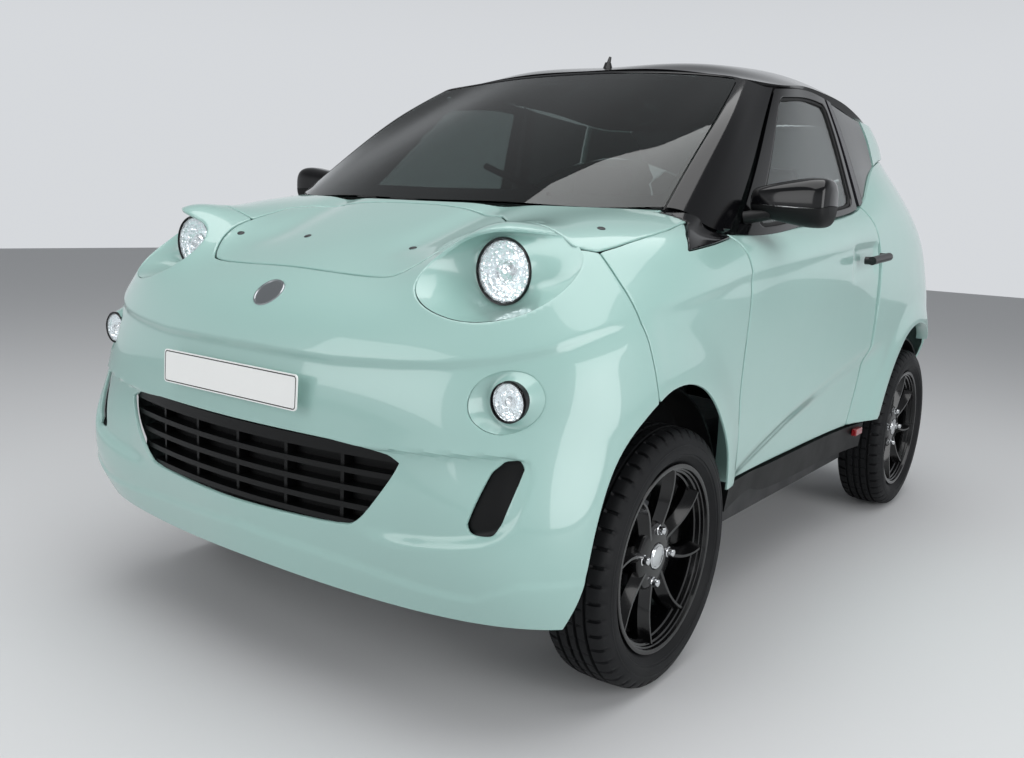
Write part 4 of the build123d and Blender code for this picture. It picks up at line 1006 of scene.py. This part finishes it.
# ---- Wheels ----------------------------------------------------------------------------------
# Radial tyres: vulcanised black rubber, four grooves round the tread, slots across its shoulders
# and plain side walls with moulded rings. One tread pitch is repeated round the axle.
WHEEL_AT = {"front": 0.79, "rear": -1.03}
WHEEL_Y, TYRE_R, PITCHES = 0.64, 0.2835, 48
TYRE_PROFILE = [(0.0585, 0.2085), (0.0655, 0.2135), (0.0705, 0.221), (0.0735, 0.2235), (0.0745, 0.2275),
                (0.0765, 0.229), (0.0775, 0.236), (0.0772, 0.244), (0.0762, 0.2465), (0.0768, 0.249),
                (0.0752, 0.2515), (0.0742, 0.256), (0.0718, 0.2625), (0.0685, 0.269), (0.0645, 0.2742),
                (0.0605, 0.2775), (0.0555, 0.2795), (0.049, 0.281), (0.0425, 0.2818), (0.0385, 0.2821),
                (0.0375, 0.2756), (0.0315, 0.2756), (0.0305, 0.2826), (0.0245, 0.2829), (0.0185, 0.2831),
                (0.0145, 0.2832), (0.0135, 0.2765), (0.0075, 0.2765), (0.0065, 0.2834), (0.003, 0.2835)]


def evaluated(thing):
    """A plain mesh of an object with its modifiers' result."""
    return bpy.data.meshes.new_from_object(thing.evaluated_get(bpy.context.evaluated_depsgraph_get()))


def points_of(mesh):
    """A mesh's vertices as an array."""
    points = np.empty(len(mesh.vertices) * 3)
    mesh.vertices.foreach_get("co", points)
    return points.reshape(-1, 3)


def round_the_axle(one, count, material, weld=0.0002):
    """A mesh repeated about the Y axis by Geometry Nodes: its points and faces."""
    tree = bpy.data.node_groups.new("round_the_axle", "GeometryNodeTree")
    tree.interface.new_socket("Geometry", in_out="INPUT", socket_type="NodeSocketGeometry")
    many = tree.interface.new_socket("Count", in_out="INPUT", socket_type="NodeSocketInt")
    close = tree.interface.new_socket("Weld distance", in_out="INPUT", socket_type="NodeSocketFloat")
    tree.interface.new_socket("Geometry", in_out="OUTPUT", socket_type="NodeSocketGeometry")
    given = add_node(tree, "NodeGroupInput")
    number = add_node(tree, "GeometryNodeInputIndex")
    turn = add_node(tree, "ShaderNodeMath", {"operation": "DIVIDE"}, _0=number.outputs[0],
                    _1=given.outputs["Count"])
    angle = add_node(tree, "ShaderNodeMath", {"operation": "MULTIPLY"}, _0=turn.outputs[0],
                     _1=2 * math.pi)
    facing_way = add_node(tree, "ShaderNodeCombineXYZ", Y=angle.outputs[0])
    spots = add_node(tree, "GeometryNodePoints", Count=given.outputs["Count"])
    placed = add_node(tree, "GeometryNodeInstanceOnPoints", Points=spots.outputs[0],
                      Instance=given.outputs["Geometry"], Rotation=facing_way.outputs[0])
    real = add_node(tree, "GeometryNodeRealizeInstances", Geometry=placed.outputs[0])
    welded = add_node(tree, "GeometryNodeMergeByDistance", Geometry=real.outputs[0],
                      Distance=given.outputs["Weld distance"])
    painted = add_node(tree, "GeometryNodeSetMaterial", Geometry=welded.outputs[0], Material=material)
    add_node(tree, "NodeGroupOutput", Geometry=painted.outputs[0])
    modifier = one.modifiers.new("round", "NODES")
    modifier.node_group = tree
    modifier[many.identifier] = count
    modifier[close.identifier] = weld
    bpy.context.view_layer.update()
    mesh = evaluated(one)
    bpy.data.objects.remove(one)
    return points_of(mesh), [tuple(face.vertices) for face in mesh.polygons]


# Carbon-filled rubber: a dull, slightly mottled black with only a weak shine.
rubber = roughen(finish_of("vulcanised_tyre_rubber", "#121315", 0.62, Specular_IOR_Level=0.25), 0.8, 0.08,
                 mottle=0.07)
BEADS = [(-0.052, 0.191), (0.052, 0.191)]
SLOT_FROM, SLOT_TO, SLOT_TAPER, SLOT_DEPTH = 0.0385, 0.0698, 0.0625, 0.0062
SIPE_TO, SIPE_DEPTH = 0.0305, 0.0035
PITCH_SHARES = (0.0, 0.1, 0.13, 0.38, 0.43, 0.57, 0.62, 0.87, 0.9, 1.0)
profile = TYRE_PROFILE + [(-y, r) for y, r in reversed(TYRE_PROFILE)] + BEADS
rows = []
for share in PITCH_SHARES:
    turn = 2 * math.pi / PITCHES * share
    for y, r in profile:
        slot = 0.43 <= share <= 0.57 and SLOT_FROM < abs(y) < SLOT_TO and r > 0.25
        sipe = share in (0.0, 1.0) and abs(y) < SIPE_TO and r > 0.28
        depth = SLOT_DEPTH * slot * (1 if abs(y) < SLOT_TAPER else 0.6) + SIPE_DEPTH * sipe
        rows.append((math.cos(turn) * (r - depth), y, math.sin(turn) * (r - depth)))
tread_pitch = piece("tread_pitch", np.array(rows), lattice(len(PITCH_SHARES), len(profile)), rubber)
tyre = round_the_axle(tread_pitch, PITCHES, rubber)

# Cast alloy rims in gloss black: a stepped barrel, eight ridged spokes that lean as they rise, four
# chromed nuts and a plain silver cap.
RIM_PROFILE = [(0.0645, 0.2066), (0.066, 0.2055), (0.0664, 0.2), (0.065, 0.1962), (0.0585, 0.1945),
               (0.0572, 0.1915), (0.0515, 0.1905), (0.0498, 0.1862), (0.0405, 0.1845), (0.0385, 0.1805),
               (0.02, 0.1785), (-0.03, 0.176), (-0.06, 0.184), (-0.064, 0.2), (-0.058, 0.2045),
               (-0.05, 0.1895), (-0.02, 0.182), (0.02, 0.1825), (0.05, 0.1895), (0.058, 0.2045)]
HUB_PROFILE = [(0.0, 0.0), (0.0, 0.078), (0.03, 0.0765), (0.036, 0.073), (0.0395, 0.066), (0.0402, 0.03),
               (0.037, 0.0285), (0.037, 0.0)]
SPOKES, SPOKE_TURN, SPOKE_STEPS, SPOKE_CORNERS = 8, 11, 22, 8
NUTS, BOLT_RING, BOLT_TURN, HUB_FACE = 4, 0.0575, 6, 0.036
NUT = [(0.0, 0.0118), (0.004, 0.0118), (0.0052, 0.0098), (0.013, 0.0094), (0.0165, 0.0078), (0.0182, 0.0045),
       (0.0188, 0.0)]
CAP = [(0.034, 0.0), (0.034, 0.0283), (0.0415, 0.0283), (0.0432, 0.0268), (0.0428, 0.0235),
       (0.0442, 0.022), (0.0462, 0.012), (0.0468, 0.0)]
#   along the spoke: radius, sideways, half width, side height, ridge height
SPOKE = [(0.05, 0.0, 0.021, 0.022, 0.0405), (0.075, 0.003, 0.0195, 0.024, 0.043),
         (0.1, 0.006, 0.0175, 0.026, 0.0465), (0.125, 0.0065, 0.0158, 0.028, 0.05),
         (0.15, 0.003, 0.0145, 0.03, 0.0535), (0.17, -0.003, 0.0145, 0.0315, 0.056),
         (0.188, -0.011, 0.016, 0.032, 0.0575)]
# Black lacquer over cast aluminium: dark faces with bright edges. The nuts and cap are mirror chrome.
gloss_alloy = roughen(finish_of("gloss_black_lacquered_alloy", "#070708", 0.18, Coat_Weight=0.35,
                                Coat_Roughness=0.05, Specular_IOR_Level=0.35), 2.5, 0.015)
chrome = roughen(finish_of("bright_chrome_plate", "#D8DADC", 0.12, 1.0), 1.5, 0.01)
points = []
for r, side, half, low_z, top_z in finer(SPOKE, SPOKE_STEPS):
    for offset, height in ((-half, low_z - 0.02), (-half, low_z), (-0.62 * half, low_z + 0.008),
                           (-0.18 * half, top_z - 0.0006), (0.18 * half, top_z - 0.0006),
                           (0.62 * half, low_z + 0.008), (half, low_z), (half, low_z - 0.02)):
        points.append((r, height, side + offset))
spoke = piece("spoke", np.array(points), tube(SPOKE_STEPS, SPOKE_CORNERS), gloss_alloy, 30)
spokes = round_the_axle(spoke, SPOKES, gloss_alloy, 0.00001)
points, faces = spun(NUT, 12, closed=False)
nut = piece("wheel_nut", points + np.array([BOLT_RING, HUB_FACE, 0]), faces, chrome, 25)
nuts = round_the_axle(nut, NUTS, chrome, 0.00001)
rim = joined([spun(RIM_PROFILE, 128), spun(HUB_PROFILE, 64, closed=False),
              (turned(spokes[0], SPOKE_TURN), spokes[1])])
bright = joined([(turned(nuts[0], BOLT_TURN), nuts[1]), spun(CAP, 64, closed=False)])
for end, x in WHEEL_AT.items():
    for hand, sign in (("left", 1), ("right", -1)):
        wheel = "{}_{}".format(end, hand)
        for name, form, finish, slot, node, sharp in (
                ("tyre", tyre, rubber, "tyre", wheel + "_tyre", 35),
                ("rim", rim, gloss_alloy, "black_alloy", wheel + "_rim", 32),
                ("nuts_and_cap", bright, chrome, "black_alloy", None, 28)):
            points, faces = for_hand(hand, form)
            points = points + np.array([x, sign * WHEEL_Y, TYRE_R])
            mounted("{}_{}_shape".format(wheel, name), (points, faces), finish, wheel + "_wheel", node,
                    sharp)

# ---- Tail lamps, skirts and running gear -----------------------------------------------------
# Red acrylic tail lamps with a ribbed inner face; grained skirts with a red reflector at the rear
# end; dip-painted steel chassis, cast axles and a plain steel exhaust, all bolted under the floor.


def ribbed(material, pitch_mm, depth_mm, axis):
    """Straight ribs of a real pitch along one axis, as a bump."""
    tree = material.node_tree
    place = add_node(tree, "ShaderNodeTexCoord")
    wave = add_node(tree, "ShaderNodeTexWave", {"bands_direction": axis}, Vector=place.outputs["Object"],
                    Scale=100 * math.pi / pitch_mm)
    bump = add_node(tree, "ShaderNodeBump", Height=wave.outputs["Fac"], Distance=depth_mm / 1000,
                    Strength=1.0)
    tree.links.new(bump.outputs["Normal"], tree.nodes["Principled BSDF"].inputs["Normal"])
    return material


# Injection-moulded acrylic: deep red with a hard gloss, its ribs drawn coarse so that they show.
red_acrylic = finish_of("red_acrylic_tail_lens", "#B3121A", 0.08, Transmission_Weight=0.35, Coat_Weight=1.0)
red_reflex = ribbed(finish_of("red_reflex_reflector", "#8E1218", 0.15, Coat_Weight=1.0), 5.0, 0.3, "X")
finished(ribbed(red_acrylic, 12.0, 0.25, "Z"), "tail_lamps")
finished(black_plastic, "side_skirts")
reflex = (np.array([(x, y, z) for x in (-0.552, -0.49) for y in (0.69, 0.7065) for z in (0.34, 0.362)]),
          [(0, 1, 3, 2), (4, 6, 7, 5), (0, 4, 5, 1), (2, 3, 7, 6), (0, 2, 6, 4), (1, 5, 7, 3)])
for hand in ("left", "right"):
    part = mounted(hand + "_skirt_reflector", for_hand(hand, reflex), red_reflex, "car",
                   sharp=30)
    edge = part.modifiers.new("edge", "BEVEL")
    edge.width, edge.segments = 0.003, 3
# Dip paint is a satin black film; bare castings and aluminised pipe are grey, mottled and rougher.
chassis_steel = roughen(finish_of("black_dip_painted_steel", "#1C1D1F", 0.5, 0.2), 1.5, 0.05, mottle=0.1)
cast_iron = roughen(finish_of("cast_aluminium_and_iron", "#63666A", 0.5, 0.8), 1.0, 0.15, mottle=0.1)
plain_steel = roughen(finish_of("aluminised_exhaust_steel", "#85827C", 0.38, 0.9), 2.5, 0.03, mottle=0.12)
finished(chassis_steel, "floor_pan", "front_rails", "rear_floor", "front_suspension", "rear_axle")
finished(cast_iron, "engine", "left_knuckle", "right_knuckle")
finished(plain_steel, "exhaust")

# ---- Cabin -----------------------------------------------------------------------------------
# Two foam seats in charcoal woven cloth with separate headrests, a grained dashboard and a
# three-spoke wheel. The cushions are inflated under their covers.
# Grained PVC and moulded foam are matt and soft to the eye. The cloth scatters light from its nap,
# and its threads are drawn 1.85 mm apart, coarser than real ones, so that the weave shows.
grained_dash = roughen(finish_of("soft_grained_dashboard_pvc", "#1D1E20", 0.6), 1.6, 0.12, mottle=0.06)
wheel_foam = roughen(finish_of("moulded_polyurethane_rim", "#151617", 0.55), 0.9, 0.06)
finished(grained_dash, "dashboard")
finished(wheel_foam, "steering_wheel")
cloth = finish_of("charcoal_woven_seat_cloth", "#3A3C40", 0.92, Sheen_Weight=0.25)
tree = cloth.node_tree
place = add_node(tree, "ShaderNodeTexCoord")
warp, weft = [add_node(tree, "ShaderNodeTexWave", {"bands_direction": axis}, Vector=place.outputs["Object"],
                       Scale=170.0, Distortion=0.6) for axis in ("Y", "Z")]
weave = add_node(tree, "ShaderNodeMath", {"operation": "MAXIMUM"}, _0=warp.outputs["Fac"],
                 _1=weft.outputs["Fac"])
relief = add_node(tree, "ShaderNodeBump", Height=weave.outputs[0], Distance=0.0004, Strength=1.0)
tree.links.new(relief.outputs["Normal"], tree.nodes["Principled BSDF"].inputs["Normal"])
PAD_GRID, PAD_PRESSURE, PAD_STEPS, PAD_SWELL, SEAM_DEPTH = 0.012, 4.0, 20, 0.014, 0.004


def cushion(size, at, lean, crown):
    """A padded block: inflated, then leaned back and put in its place."""
    made = bmesh.new()
    bmesh.ops.create_cube(made, size=1.0)
    for vertex in made.verts:
        vertex.co = Vector([c * s for c, s in zip(vertex.co, size)])
    mesh = bpy.data.meshes.new("pad")
    made.to_mesh(mesh)
    made.free()
    pad = bpy.data.objects.new("pad", mesh)
    bpy.context.scene.collection.objects.link(pad)
    bevel = pad.modifiers.new("round", "BEVEL")
    bevel.width, bevel.segments = min(size) * 0.32, 4
    grid = pad.modifiers.new("grid", "REMESH")
    grid.mode, grid.voxel_size = "VOXEL", PAD_GRID
    start = evaluated(pad)
    pad.modifiers.clear()
    pad.data = start
    before = after = points_of(start)
    puff = pad.modifiers.new("puff", "CLOTH")
    puff.settings.use_pressure = True
    puff.settings.uniform_pressure_force = PAD_PRESSURE
    puff.settings.effector_weights.gravity = 0.0
    puff.point_cache.frame_end = PAD_STEPS
    for step in range(1, PAD_STEPS + 1):
        bpy.context.scene.frame_set(step)
    after = points_of(evaluated(pad))
    pad.modifiers.clear()
    bpy.context.scene.frame_set(1)
    move = after - before
    length = np.linalg.norm(move, axis=1, keepdims=True)
    points = before + move * np.minimum(1, PAD_SWELL / np.maximum(length, 1e-6))
    u, v = points[:, 0] / size[0] * 2, np.abs(points[:, 1] / size[1] * 2)
    dish = crown * (blend(0.5, 0.8, v) - 0.5) * blend(0.0, 0.3, points[:, 2] / size[2])
    seam = np.exp(-((v - 0.62) / 0.02) ** 2) + np.exp(-((u - 0.1) / 0.02) ** 2) * (v < 0.6)
    points[:, 2] += dish - SEAM_DEPTH * seam * (points[:, 2] > 0)
    faces = [tuple(face.vertices) for face in start.polygons]
    bpy.data.objects.remove(pad)
    return turned(points, lean) + np.array(at), faces


BACK, UP_BACK = np.array([-0.33, 0.305, 0.45]), np.array([-0.28, 0, 0.96])
TILT = math.degrees(math.atan2(UP_BACK[2], UP_BACK[0]))
for name, node, size, at, lean, crown in (
        ("seat_base", "seat_bases", (0.43, 0.44, 0.115), (-0.11, 0.305, 0.368), 0, 0.012),
        ("seat_back", "seat_backs", (0.57, 0.42, 0.085), BACK + UP_BACK * 0.3, TILT, -0.012),
        ("headrest", "seat_backs", (0.13, 0.225, 0.06), BACK + UP_BACK * 0.68, TILT, 0.0)):
    form = cushion(size, at, lean, crown)
    for hand in ("left", "right"):
        part = mounted("{}_{}".format(hand, name), for_hand(hand, form), cloth, "car",
                       node, 180)
        smooth = part.modifiers.new("smooth", "SUBSURF")
        smooth.levels = smooth.render_levels = 1
